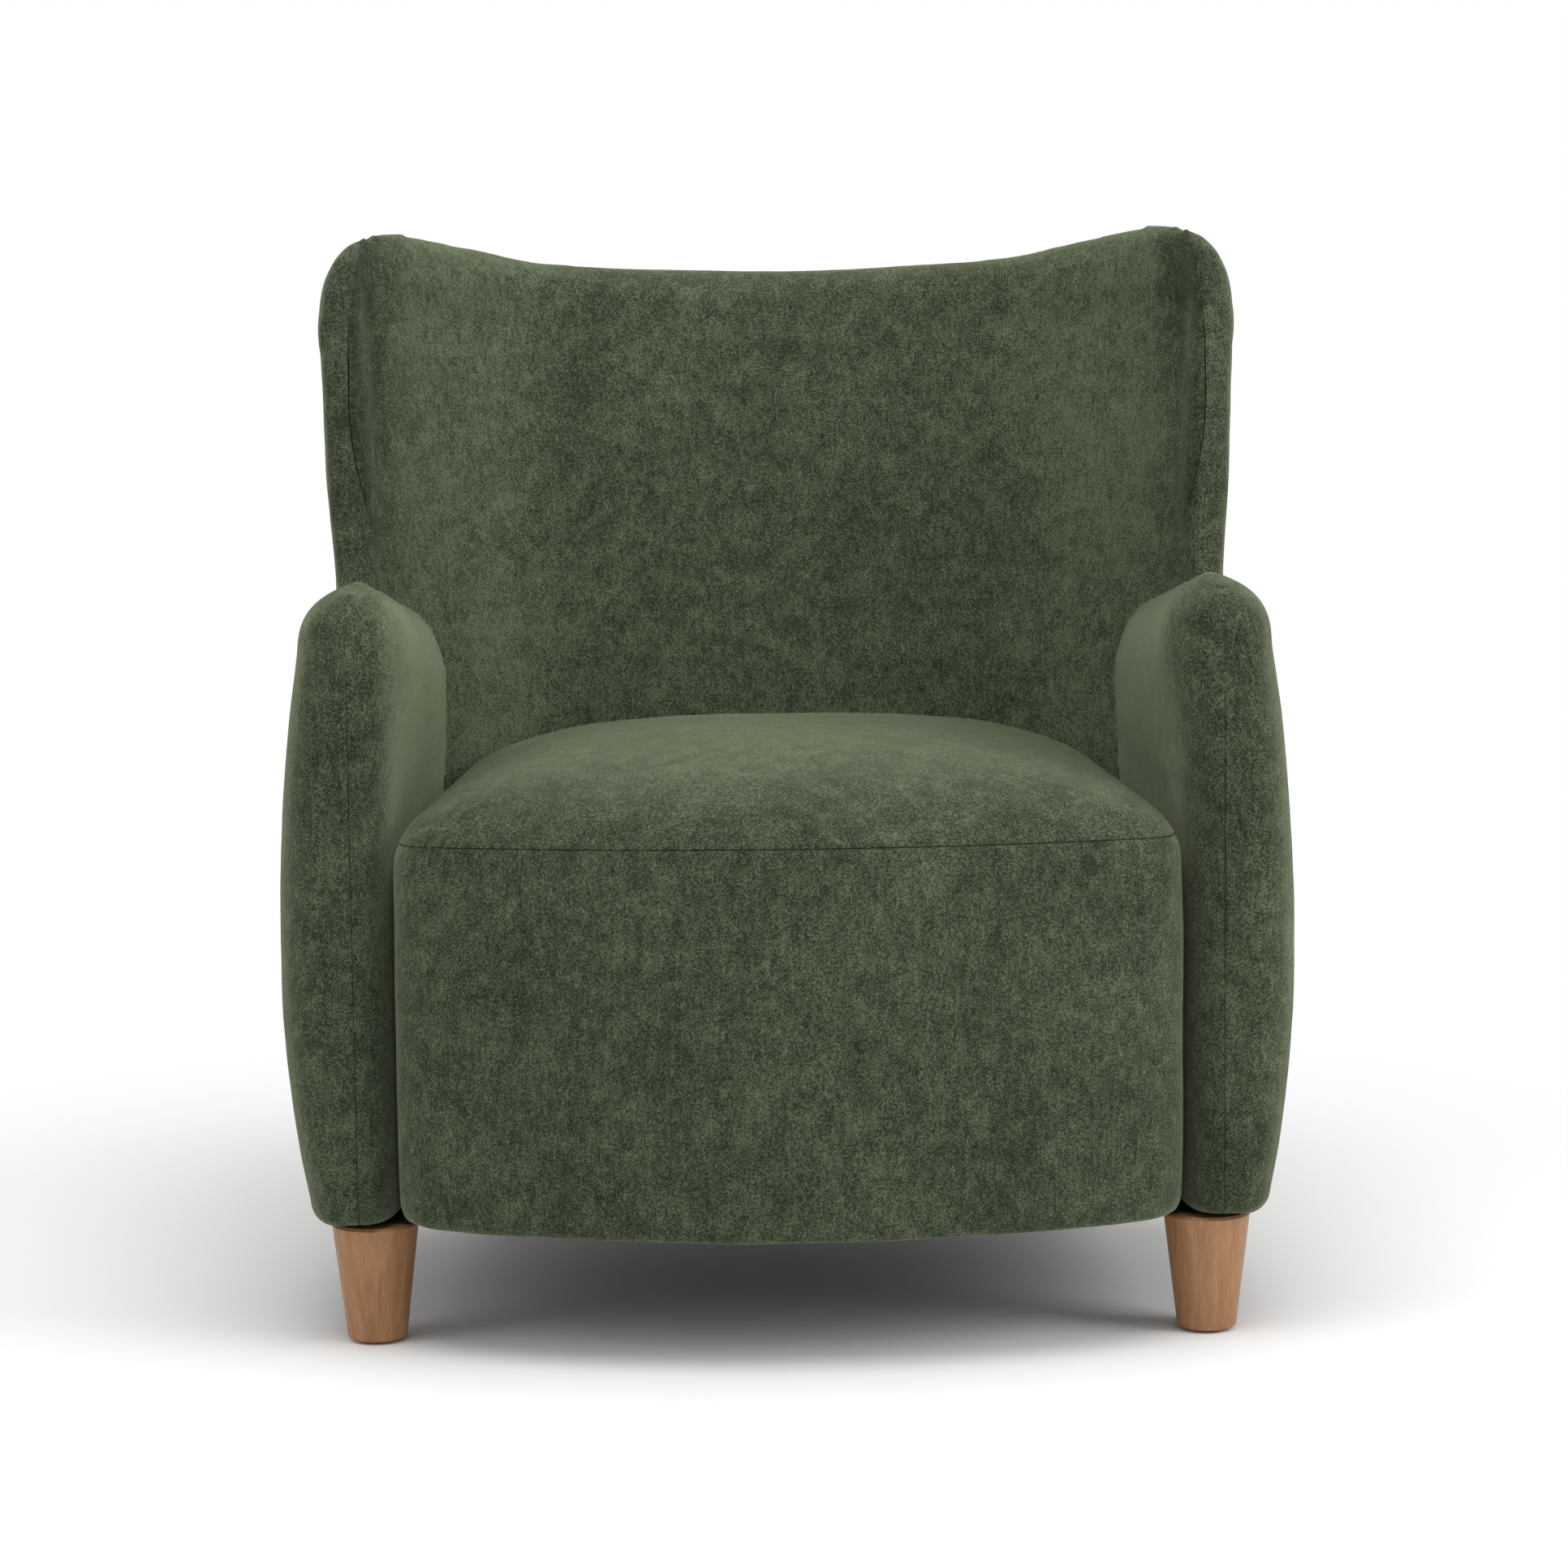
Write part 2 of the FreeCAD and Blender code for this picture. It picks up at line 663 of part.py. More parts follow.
def base_rail():
    """The rail under the back, cranked forward at its ends to carry the rear legs."""
    y0 = frame_y(MOUNT_RAIL_FOOT, FRAME_SET_IN) - 20
    y1 = y0 + 62
    inner, outer = STILE_X + STILE, REAR_LEG[0] + 32
    ahead = 28.0
    plan = [(-outer, y0 - ahead), (-inner, y0), (inner, y0), (outer, y0 - ahead),
            (outer, y1 - 1.1 * ahead), (inner, y1), (-inner, y1), (-outer, y1 - 1.1 * ahead)]
    rail = prism(plan, MOUNT_RAIL_FOOT, MOUNT_RAIL_TOP)
    for side in (-1, 1):
        place = (side * REAR_LEG[0], REAR_LEG[1])
        rail = less(rail, leg_hole(*place, MOUNT_RAIL_FOOT - 1, MOUNT_RAIL_TOP + 1), nut_seat(*place))
    return rail


def back_rail(name):
    z0, z1 = RAIL_ZONES[name]
    return leaning(-STILE_X, STILE_X, FRAME_SET_IN, FRAME_REAR, z0, z1)


DOWEL_RADIUS = 4.0
DOWEL_LENGTH = 40.0


def dowels():
    """Beech dowels across the joints of the back's rails and stiles."""
    pins = []
    for z0, z1 in RAIL_ZONES.values():
        for share in (0.25, 0.75):
            z = between(z0, z1, share)
            y = frame_y(z, between(FRAME_SET_IN, FRAME_REAR, 0.5))
            for side in (-1, 1):
                x = side * STILE_X
                pins.append(rod((x - DOWEL_LENGTH / 2, y, z), (x + DOWEL_LENGTH / 2, y, z), DOWEL_RADIUS))
    return pins


WING_POST = 18.0
WING_POST_DEEP = 40.0
WING_POST_TRIM = 3.8
WING_POST_TOP = WING_HEIGHT - 117.0
WING_SET_IN = 26.0
WING_FLARE = 0.035


def wing_x(z):
    """Inner face of the wing's post, which leans out as it rises."""
    return HALF - 50.0 + WING_FLARE * (z - BACK_LEVEL)


def wing_y(z):
    return WING_FRONT + WING_SET_IN + WING_RECLINE * (z - BACK_LEVEL)


def wing_post():
    loops = []
    for z, trim in ((MOUNT_RAIL_FOOT, WING_POST_TRIM), (WING_POST_TOP, 0.0)):
        x, y = wing_x(z), wing_y(z)
        loops.append(ring(x + trim, x + WING_POST - 0.3 * trim, y, y + WING_POST_DEEP, z))
    return ruled_solid(*loops)


SPREADER_LEVELS = (MOUNT_RAIL_TOP + 23.7, SEAM_HEIGHT + 42.0, WING_POST_TOP - 50.0)
SPREADER_HEIGHT = 34.0


def wing_spreaders():
    """Short rails from each stile out to its wing post."""
    rails = []
    for z in SPREADER_LEVELS:
        stile_x = STILE_X + STILE
        inner_y = frame_y(z + SPREADER_HEIGHT, FRAME_SET_IN)
        y = wing_y(z + SPREADER_HEIGHT)
        x = wing_x(z + SPREADER_HEIGHT)
        plan = [(stile_x, inner_y), (x, y + 11.0), (x, y + 34.0), (stile_x, inner_y + 18.0)]
        rails.append(prism(plan, z, z + SPREADER_HEIGHT).cut(wing_post()))
    return group([biggest(r) for r in rails])


def straps():
    """Elastic webbing, three upright straps in front of four level ones."""
    strips = []
    for i in range(4):
        z = between(RAIL_ZONES["back_seat_rail"][1] + 60, RAIL_ZONES["back_crest_rail"][0] - 40, i / 3)
        half = STILE_X + STILE - 4
        strips.append(leaning(-half, half, STRAP_MIDDLE, FRAME_SET_IN, z - STRAP / 2, z + STRAP / 2))
    for i in range(3):
        x = (i - 1) * 95.0
        strips.append(leaning(x - STRAP / 2, x + STRAP / 2, STRAP_FRONT, STRAP_MIDDLE,
                              RAIL_ZONES["back_seat_rail"][0] + 5, RAIL_ZONES["back_crest_rail"][1] - 5))
    return strips


def back_board():
    half = STILE_X + STILE
    return leaning(-half, half, FRAME_REAR, FRAME_REAR + BACK_BOARD, MOUNT_RAIL_TOP, STILE_TOP)


def back_pocket():
    """The hollow in the back's foam that holds the stiles, rails, webbing and board."""
    half = STILE_X + STILE
    return leaning(-half, half, STRAP_FRONT, FRAME_REAR + BACK_BOARD, MOUNT_RAIL_TOP, STILE_TOP)


# Bolts between the modules

SEAT_BOLTS_Y = (POST_FRONT + ARM_POST_DEEP + 28.0, POST_REAR - 22.0)
SEAT_BOLT_Z = BOLT_RAIL_FOOT + BOLT_RAIL_HEIGHT / 2
BOLT_HEAD = 5.0
BOLT_HEAD_RADIUS = 7.0
BACK_BOLT_LEVELS = (SEAM_HEIGHT - 183.0, SEAM_HEIGHT - 58.0)
BACK_BOLT_RADIUS = 3.0


def seat_bolt_line(y, radius):
    inside = frame_half(y) - RAIL
    return rod((inside - 3.0, y, SEAT_BOLT_Z), (arm_x()[0] + RAIL, y, SEAT_BOLT_Z), radius)


def seat_bolt(y):
    inside = frame_half(y) - RAIL
    head = rod((inside - BOLT_HEAD - 1.0, y, SEAT_BOLT_Z), (inside - 1.0, y, SEAT_BOLT_Z), BOLT_HEAD_RADIUS)
    shank = rod((inside - 1.0, y, SEAT_BOLT_Z), (arm_x()[0] + RAIL, y, SEAT_BOLT_Z), BOLT_RADIUS)
    return head.fuse(shank)


def back_bolt_x(z):
    return wing_x(z) + 5.0


def back_bolt_line(z, radius):
    x = back_bolt_x(z)
    return rod((x, POST_REAR, z), (x, wing_y(z) + 40.0, z), radius)


def back_bolt(z):
    x = back_bolt_x(z)
    head = rod((x, POST_REAR - BOLT_HEAD, z), (x, POST_REAR, z), 5.0)
    return head.fuse(back_bolt_line(z, BACK_BOLT_RADIUS))


SCREW_RADIUS = 2.2
SCREW_LENGTH = 46.0


def corner_screw(x, y, z, side_x, side_y):
    """A screw through a corner block, driven at 45 degrees into the corner."""
    step = SCREW_LENGTH / math.sqrt(2)
    shank = rod((x, y, z), (x + side_x * step, y + side_y * step, z), SCREW_RADIUS)
    return shank


STAPLE = (10.0, 1.2, 0.7)


def staple(x, y, along_x):
    long, wide, thick = STAPLE
    dx, dy = (long, wide) if along_x else (wide, long)
    return block(x - dx / 2, x + dx / 2, y - dy / 2, y + dy / 2, LEG_HEIGHT - thick, LEG_HEIGHT)


DUST_INSET = 16.0
DUST_LEG_EDGE = 12.0


def dust_outline():
    """Plan corners of the cloth under the chair, right half from the front."""
    clear, side = arm_inner(FRONT_LEG[1]), arm_inner(FRONT_LEG[1]) + 54.0
    corner, edge = SEAT_FRONT + SEAT_BOW, FRONT_LEG[1] - DUST_LEG_EDGE
    return [(clear - 4 * DUST_INSET, corner + 4), (clear, edge), (side, edge),
            (side, WING_FRONT - 76.0), (REAR_LEG[0] + 44, REAR_LEG[1] + 4),
            (STILE_X + STILE, frame_y(BOTTOM, 84.0)), (0, frame_y(BOTTOM, BACK_THICK - 7 - 2 * DUST_INSET))]


def dust_cover():
    right = dust_outline()
    front = (0, SEAT_FRONT + DUST_INSET + 12)
    outline = [front] + right + [(-x, y) for x, y in reversed(right[:-1])]
    sheet = prism(outline, LEG_HEIGHT, LEG_HEIGHT + DUST_COVER)
    for x, y in LEGS.values():
        sheet = less(sheet, leg_hole(x, y, LEG_HEIGHT - 1, BOTTOM + 1))
    return sheet


def staples():
    """Staple crowns round the edge of the dust cover."""
    right = [(0, SEAT_FRONT + DUST_INSET + 12)] + dust_outline()
    crowns = []
    for (x0, y0), (x1, y1) in zip(right, right[1:]):
        count = max(1, int(math.hypot(x1 - x0, y1 - y0) / 70))
        for i in range(count):
            share = (i + 0.5) / count
            x, y = between(x0, x1, share), between(y0, y1, share)
            pull = 1 - 7.0 / math.hypot(x, y)
            x, y = x * pull, y * pull
            from_leg = min(math.hypot(x - lx, y - ly) for lx, ly in LEGS.values())
            if from_leg > LEG_TOP_RADIUS + STAPLE[0]:
                crowns += both(staple(x, y, abs(x1 - x0) > abs(y1 - y0)))
    return crowns


# Putting the chair together


def make_arm(nodes, back_room):
    """The right arm, trimmed to the back and drilled for its bolts, and the left one as its mirror image."""
    frame = {"front_post": arm_post(POST_FRONT), "rear_post": arm_post(POST_REAR),
             "top_rail": arm_top_rail(), "bottom_rail": arm_bottom_rail(),
             "bolt_rail": arm_bolt_rail(), "side_board": arm_side_board()}
    holes = [seat_bolt_line(y, BOLT_RADIUS) for y in SEAT_BOLTS_Y]
    rear_holes = [back_bolt_line(z, BACK_BOLT_RADIUS) for z in BACK_BOLT_LEVELS]
    leg_bore = leg_hole(*FRONT_LEG, BOTTOM - 1, BOLT_TOP)
    frame["bolt_rail"] = less(frame["bolt_rail"], *holes)
    frame["rear_post"] = less(frame["rear_post"], *rear_holes)
    shell = less(arm_form(0), arm_form(COVER), back_room, leg_bore, *holes, *rear_holes)
    seam_x = between(SEAT_CLEAR, HALF, 0.32)
    inner_side = block(0, seam_x, 2 * ARM_FRONT, -2 * ARM_FRONT, 0, 2 * ARM_HEIGHT)
    parts = dict(frame)
    parts["inner_cover"] = biggest(shell.common(inner_side))
    parts["outer_cover"] = biggest(shell.cut(inner_side))
    nut_room = rod((*FRONT_LEG, MOUNT_RAIL_TOP), (*FRONT_LEG, BOLT_TOP), NUT_FLANGE_RADIUS)
    foam = less(arm_form(COVER + FOAM_GAP), back_room, arm_pocket(), bottom_rail_room(),
                frame["side_board"], leg_bore, nut_room, *holes, *rear_holes)
    parts["foam"] = biggest(foam)
    for name, shape in parts.items():
        nodes["arm_right_" + name] = shape
        nodes["arm_left_" + name] = mirrored(shape)


def make_back(nodes, outer):
    spreaders = wing_spreaders()
    pins = dowels()
    bolt_holes = [back_bolt_line(z, BACK_BOLT_RADIUS) for z in BACK_BOLT_LEVELS]
    post = less(wing_post(), *bolt_holes)
    nodes["back_stile_right"] = less(stile(), *pins)
    nodes["back_stile_left"] = mirrored(nodes["back_stile_right"])
    for name in RAIL_ZONES:
        nodes[name] = less(back_rail(name), *pins)
    nodes["back_base_rail"] = base_rail()
    nodes["back_dowels"] = group(pins)
    nodes["wing_post_right"] = post
    nodes["wing_post_left"] = mirrored(post)
    nodes["wing_spreaders_right"] = spreaders
    nodes["wing_spreaders_left"] = mirrored(spreaders)
    nodes["back_webbing"] = group(straps())
    nodes["back_board"] = back_board()

    holes = [h for line in bolt_holes for h in both(line)]
    leg_bores = both(leg_hole(*REAR_LEG, BOTTOM - 1, BOLT_TOP))
    nut_rooms = both(rod((*REAR_LEG, MOUNT_RAIL_TOP), (*REAR_LEG, BOLT_TOP), NUT_FLANGE_RADIUS))
    shell = less(outer, back_form(COVER), *holes, *leg_bores)
    outside = back_outside()
    panel = block(-OUTSIDE_HALF, OUTSIDE_HALF, -WIDTH, WIDTH, 0, 2 * WING_HEIGHT)
    right = block(0, WIDTH, -WIDTH, WIDTH, 0, 2 * WING_HEIGHT)
    rear = shell.common(outside)
    sides = rear.cut(panel)
    nodes["back_outside_cover"] = biggest(rear.common(panel))
    nodes["wing_band_right"] = biggest(sides.common(right))
    nodes["wing_band_left"] = biggest(sides.cut(right))
    nodes["back_inside_cover"] = biggest(shell.cut(outside))
    foam = less(back_form(COVER + FOAM_GAP), shell, back_pocket(), nodes["back_base_rail"],
                *both(wing_post()), *spreaders.Solids, *mirrored(spreaders).Solids,
                *holes, *leg_bores, *nut_rooms)
    nodes["back_foam"] = biggest(foam)


def make_seat(nodes, back_room):
    holes = [h for y in SEAT_BOLTS_Y for h in both(seat_bolt_line(y, BOLT_RADIUS))]
    nodes["seat_front_rail"] = seat_front_rail()
    nodes["seat_rear_rail"] = seat_rear_rail()
    side = less(seat_side_rail(), nodes["seat_front_rail"], *holes)
    nodes["seat_side_rail_right"] = side
    nodes["seat_side_rail_left"] = mirrored(side)

    blocks = both(rear_corner_block()) + both(front_corner_block())
    screws = []
    for z in (CORNER_FOOT + 12.0, CORNER_TOP - 12.0):
        far = seat_rear_line() - RAIL
        x = frame_half(far) - RAIL - 1.5 - 0.5 * CORNER_LEG
        near = SEAT_SIDE_START + RAIL + 12.0
        fx = frame_half(near + CORNER_LEG) - RAIL - 0.5 - 0.5 * CORNER_LEG
        for mirror in (1, -1):
            screws.append(corner_screw(mirror * x, far - 0.5 * CORNER_LEG, z, mirror, 1))
            screws.append(corner_screw(mirror * fx, near + 0.5 * CORNER_LEG, z, mirror, -1))
    nodes["seat_corner_blocks"] = group([less(b, *screws) for b in blocks])
    nodes["seat_corner_screws"] = group(screws)
    for name in ("seat_front_rail", "seat_rear_rail", "seat_side_rail_right", "seat_side_rail_left"):
        nodes[name] = less(nodes[name], *screws)

    springs, clips = [], []
    for i in range(SPRING_COUNT):
        x = (i - (SPRING_COUNT - 1) / 2) * SPRING_SPACING
        wire, start, rear = sinuous_spring(x)
        springs.append(wire)
        clips += [spring_clip(x, start, 1), spring_clip(x, rear, -1)]
    nodes["seat_springs"] = group(springs)
    nodes["spring_clips"] = group(clips)
    pad_half = SPRING_FIELD / 2
    near, far = SPRING_FRONT - 8, seat_rear_line() - 2
    nodes["spring_pad"] = block(-pad_half, pad_half, near, far, PAD_FOOT, PAD_TOP)

    cavity = seat_cavity(0.0, PAD_TOP)
    block_shell = less(seat_block(0), seat_block(COVER), back_room, *holes)
    opening = seat_cavity(0.0, BOTTOM + 30.0)
    nodes["seat_border_cover"] = biggest(less(block_shell, opening))
    nodes["seat_top_cover"] = biggest(less(seat_crown(0), seat_crown(COVER), back_room))
    foam = seat_block(COVER + FOAM_GAP).fuse(seat_crown(COVER + FOAM_GAP))
    nodes["seat_foam"] = biggest(less(foam, cavity, back_room, *holes))


def make_legs(nodes):
    for name, (x, y) in LEGS.items():
        nodes["leg_" + name] = leg(x, y)
    places = list(LEGS.values())
    nodes["leg_glides"] = group([glide(x, y) for x, y in places])
    nodes["hanger_bolts"] = group([hanger_bolt(x, y) for x, y in places])
    nodes["tee_nuts"] = group([tee_nut(x, y) for x, y in places])


def make_chair():
    nodes = {}
    outer = back_form(0)
    back_room = back_form(-FIT)
    make_back(nodes, outer)
    make_arm(nodes, back_room)
    make_seat(nodes, back_room)
    make_legs(nodes)
    nodes["seat_bolts"] = group([b for y in SEAT_BOLTS_Y for b in both(seat_bolt(y))])
    nodes["back_bolts"] = group([b for z in BACK_BOLT_LEVELS for b in both(back_bolt(z))])
    nodes["dust_cover"] = dust_cover()
    nodes["dust_cover_staples"] = group(staples())
    return nodes


def main():
    nodes = make_chair()
    whole = group(list(nodes.values())).optimalBoundingBox(False, False)
    shift = Vec(0, -(whole.YMin + whole.YMax) / 2, 0)
    os.makedirs("parts", exist_ok=True)
    for name, shape in nodes.items():
        shape = shape.copy()
        shape.translate(shift)
        shape.exportStep(os.path.join("parts", name + ".step"))
    print("nodes", len(nodes), "shift", round(shift.y, 3), "box", whole)


main()
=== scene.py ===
"""Green velvet wingback armchair: upholstered panels sewn over the solids, on four tapered legs."""

import math
from collections import Counter

import bmesh
import bpy
import numpy as np
from mathutils import Matrix, Vector, noise
from mathutils.bvhtree import BVHTree


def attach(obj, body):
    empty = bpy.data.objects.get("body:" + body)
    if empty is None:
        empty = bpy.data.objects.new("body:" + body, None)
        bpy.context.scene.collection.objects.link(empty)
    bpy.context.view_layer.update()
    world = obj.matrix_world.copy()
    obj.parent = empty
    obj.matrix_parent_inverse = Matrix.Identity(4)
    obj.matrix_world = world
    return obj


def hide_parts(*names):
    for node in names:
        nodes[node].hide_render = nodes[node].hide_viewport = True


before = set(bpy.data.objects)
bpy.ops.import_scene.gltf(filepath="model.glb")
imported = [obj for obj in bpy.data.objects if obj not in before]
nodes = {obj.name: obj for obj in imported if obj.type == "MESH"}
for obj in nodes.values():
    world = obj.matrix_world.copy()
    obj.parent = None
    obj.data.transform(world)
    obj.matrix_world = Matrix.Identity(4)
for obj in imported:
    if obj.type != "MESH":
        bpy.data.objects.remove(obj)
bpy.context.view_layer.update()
scene = bpy.context.scene

# Lengths are in metres. A pair whose name ends in UP, ACROSS, END, RISE, RETURN or FADE says where
# a gradual change starts and ends.

# Upholstery
VOXEL = 0.007
COVER = 0.002
SEAM_GAP = 0.0008
SEAM_LIP = 0.0010
VALLEY_DEEP = 0.0009
VALLEY_WIDE = 0.006
CONTACT_NEAR = 0.007
CONTACT_FAR = 0.022
CONTACT_GAP = 0.0006
OUTER_REACH = 0.0015
BARE = 0.020

# Smoothing of the forms: how often, and the share of the way to the neighbours' mean
FIT_ROUNDS = 2
FIT_PASSES = 4
FINE_PASSES = 2
ROUNDING_PASSES = 16
LIFT_PASSES = 3
SHARE = 0.5
GENTLE_SHARE = 0.3
LAST_SHARE = 0.4

# Cloth simulation
SHRINK = 0.0015
SWELL_LOW = -0.0025
SWELL_HIGH = 0.0025
CLOTH_FRAMES = 6
HELD_LEAST = 0.01
CLOTH = {
    "quality": 4,
    "mass": 0.02,
    "air_damping": 2,
    "tension_stiffness": 60,
    "compression_stiffness": 60,
    "shear_stiffness": 30,
    "bending_stiffness": 4,
    "use_pressure": True,
    "uniform_pressure_force": 2.0,
}

# Unevenness of hand-laid padding
PADDING_SCALE = 11.0
PADDING_FINE_SCALE = 38.0
PADDING_FINE_SHARE = 0.35
PADDING_SHIFT = (3.1, 1.7, 0.9)

# Seams
SHIFT_Y = 0.048652
BACK_LEVEL = 0.450
SNAP = 0.25
SEAT_SEAM_HEIGHT = 0.388
SEAT_SEAM_PITCH = 0.05
SEAT_SEAM_LEVEL_Y = -0.230 + SHIFT_Y
ARM_SEAM_X = 0.3315
WING_SEAM_X = 0.330
WING_SEAM_OUT = 0.031
WING_SEAM_BEHIND = 0.055
WING_SEAM_RISE = (0.53, 0.72)
WING_SEAM_RETURN = (0.76, 0.90)
WING_SEAM_RETURN_SHARE = 0.4
WING_SEAM_BEHIND_Y = 0.115
WING_SEAM_BEHIND_WIDE = 0.06
WING_RECLINE = 0.15
CREST_SEAM_Y = 0.182 + SHIFT_Y
CREST_SEAM_BEND = 0.062
CREST_SEAM_SPAN = 0.279
CREST_SEAM_POWER = 3.5
CREST_SEAM_END = 0.36
CREST_RECLINE = 0.21

# How deep the seams sink in, as a share of the deepest
SEAT_SINK = 1.0
BACK_SINK = 0.5
BACK_SINK_FROM = 0.45
ARM_SINK = 0.6
WING_SINK_MORE = 0.5
WING_SINK_UP = (0.60, 0.64)
SIDE_SEAMS_FROM = 0.31
ARM_TOP_FADE = 0.6
ARM_TOP_UP = (0.47, 0.53)
ARM_TOP_END = (0.59, 0.64)
TIP_FADE = 0.95
TIP_ACROSS = (0.24, 0.28)
TIP_UP = (0.75, 0.81)

# Domes and fullness
ARM_DOME_UP = (0.53, 0.56)
WING_DOME_ACROSS = (0.27, 0.32)
WING_DOME_UP = (0.79, 0.82)
ARM_SIDE_FULL = 0.0022
ARM_SIDE_ACROSS = (0.335, 0.365)
ARM_UPPER_FULL = 0.0013
ARM_UPPER_UP = (0.38, 0.50)
ARM_TOP_FULL = 0.0012
ARM_TOP_FULL_UP = (0.54, 0.57)
BAND_FULL = 0.0035
BAND_ACROSS = (0.29, 0.35)
BAND_UP = (0.57, 0.66)
BAND_END = (0.75, 0.82)
BAND_END_SHARE = 0.5
CREST_FULL = 0.0035
CREST_ACROSS = (0.20, 0.27)
CREST_END = (0.32, 0.37)
CREST_UP = (0.78, 0.82)
TIP_FULL = 0.0020

SEAT_COVERS = ["seat_top_cover", "seat_border_cover"]
ARM_RIGHT_COVERS = ["arm_right_inner_cover", "arm_right_outer_cover"]
ARM_LEFT_COVERS = ["arm_left_inner_cover", "arm_left_outer_cover"]
BACK_COVERS = ["back_inside_cover", "back_outside_cover", "wing_band_right", "wing_band_left"]
SEAT_INNER = [
    "seat_foam", "seat_front_rail", "seat_rear_rail", "seat_side_rail_right",
    "seat_side_rail_left", "seat_corner_blocks",
]
ARM_INNER = [
    "arm_right_foam", "arm_right_front_post", "arm_right_rear_post", "arm_right_top_rail",
    "arm_right_bottom_rail", "arm_right_bolt_rail", "arm_right_side_board",
]
BACK_INNER = [
    "back_foam", "back_stile_right", "back_stile_left", "back_foot_rail", "back_seat_rail",
    "back_crest_rail", "back_board", "wing_post_right", "wing_post_left",
    "wing_spreaders_right", "wing_spreaders_left",
]
SEAT_HOLLOW = ((-0.27, -0.26, 0.105), (0.27, 0.17, 0.36))
ARM_HOLLOW = ((0.318, -0.22, 0.105), (0.362, -0.02, 0.50))


# Mesh tools


def coords(mesh):
    co = np.empty(len(mesh.vertices) * 3, np.float32)
    mesh.vertices.foreach_get("co", co)
    return co.reshape(-1, 3).astype(float)


def set_coords(mesh, co):
    mesh.vertices.foreach_set("co", co.astype(np.float32).ravel())
    mesh.update()


def normals(mesh):
    no = np.empty(len(mesh.vertices) * 3, np.float32)
    mesh.vertex_normals.foreach_get("vector", no)
    return no.reshape(-1, 3).astype(float)


def new_object(name, mesh):
    obj = bpy.data.objects.new(name, mesh)
    scene.collection.objects.link(obj)
    return obj


def settle(obj):
    """Puts what the modifiers make into the mesh itself."""
    bpy.context.view_layer.update()
    graph = bpy.context.evaluated_depsgraph_get()
    made = bpy.data.meshes.new_from_object(obj.evaluated_get(graph))
    obj.modifiers.clear()
    obj.data = made
    return made


def shade_smooth(mesh, smooth_faces=True):
    mesh.polygons.foreach_set("use_smooth", [smooth_faces] * len(mesh.polygons))


def tree_of(names):
    points, faces = [], []
    for name in names:
        base = len(points)
        mesh = nodes[name].data
        points += [v.co.copy() for v in mesh.vertices]
        faces += [[base + i for i in p.vertices] for p in mesh.polygons]
    return BVHTree.FromPolygons(points, faces)


def largest_group(items, neighbours):
    """The largest group of items that hang together."""
    seen, largest = set(), []
    for start in items:
        if start in seen:
            continue
        group, todo = [], [start]
        seen.add(start)
        while todo:
            item = todo.pop()
            group.append(item)
            for other in neighbours(item):
                if other not in seen:
                    seen.add(other)
                    todo.append(other)
        largest = max(largest, group, key=len)
    return largest


def wrapped(name, covers, inner, hollows):
    """One closed even mesh over a module's covers.

    What lies inside, and a box in each hollow, keep it filled.
    """
    bm = bmesh.new()
    for node in covers + inner:
        bm.from_mesh(nodes[node].data)
    for low, high in hollows:
        size = [b - a for a, b in zip(low, high)]
        middle = [(a + b) / 2 for a, b in zip(low, high)]
        place = Matrix.Translation(middle) @ Matrix.Diagonal((*size, 1.0))
        bmesh.ops.create_cube(bm, size=1.0, matrix=place)
    mesh = bpy.data.meshes.new(name)
    bm.to_mesh(mesh)
    bm.free()
    obj = new_object(name, mesh)
    remesh = obj.modifiers.new("Even", "REMESH")
    remesh.mode = "VOXEL"
    remesh.voxel_size = VOXEL
    settle(obj)
    bm = bmesh.new()
    bm.from_mesh(obj.data)
    kept = set(largest_group(bm.verts, lambda v: [e.other_vert(v) for e in v.link_edges]))
    bmesh.ops.delete(bm, geom=[v for v in bm.verts if v not in kept], context="VERTS")
    bm.to_mesh(obj.data)
    bm.free()
    return obj


def neighbour_mean(mesh, values):
    """The mean of each vertex's neighbours."""
    edges = np.empty(len(mesh.edges) * 2, np.int32)
    mesh.edges.foreach_get("vertices", edges)
    a, b = edges.reshape(-1, 2).T
    count = len(mesh.vertices)
    degree = np.bincount(a, minlength=count) + np.bincount(b, minlength=count)
    total = np.zeros_like(values)
    for axis in range(values.shape[1]):
        from_a = np.bincount(a, values[b, axis], count)
        total[:, axis] = from_a + np.bincount(b, values[a, axis], count)
    return total / np.maximum(degree, 1)[:, None]


def smooth(mesh, passes, share=SHARE):
    co = coords(mesh)
    for _ in range(passes):
        co += share * (neighbour_mean(mesh, co) - co)
    set_coords(mesh, co)


def lay_on(mesh, tree, far):
    """Moves every point near the covers to the nearest place on their outer faces."""
    co, no = coords(mesh), normals(mesh)
    for i, (p, n) in enumerate(zip(co, no)):
        found = tree.find_nearest(Vector(p + OUTER_REACH * n), far)[0]
        if found is not None:
            co[i] = found
    set_coords(mesh, co)


def distance(tree, co, far):
    out = np.full(len(co), far)
    for i, p in enumerate(co):
        found = tree.find_nearest(Vector(p), far)
        if found[3] is not None:
            out[i] = found[3]
    return out


def ramp(x, low, high):
    t = np.clip((x - low) / (high - low), 0, 1)
    return t * t * (3 - 2 * t)


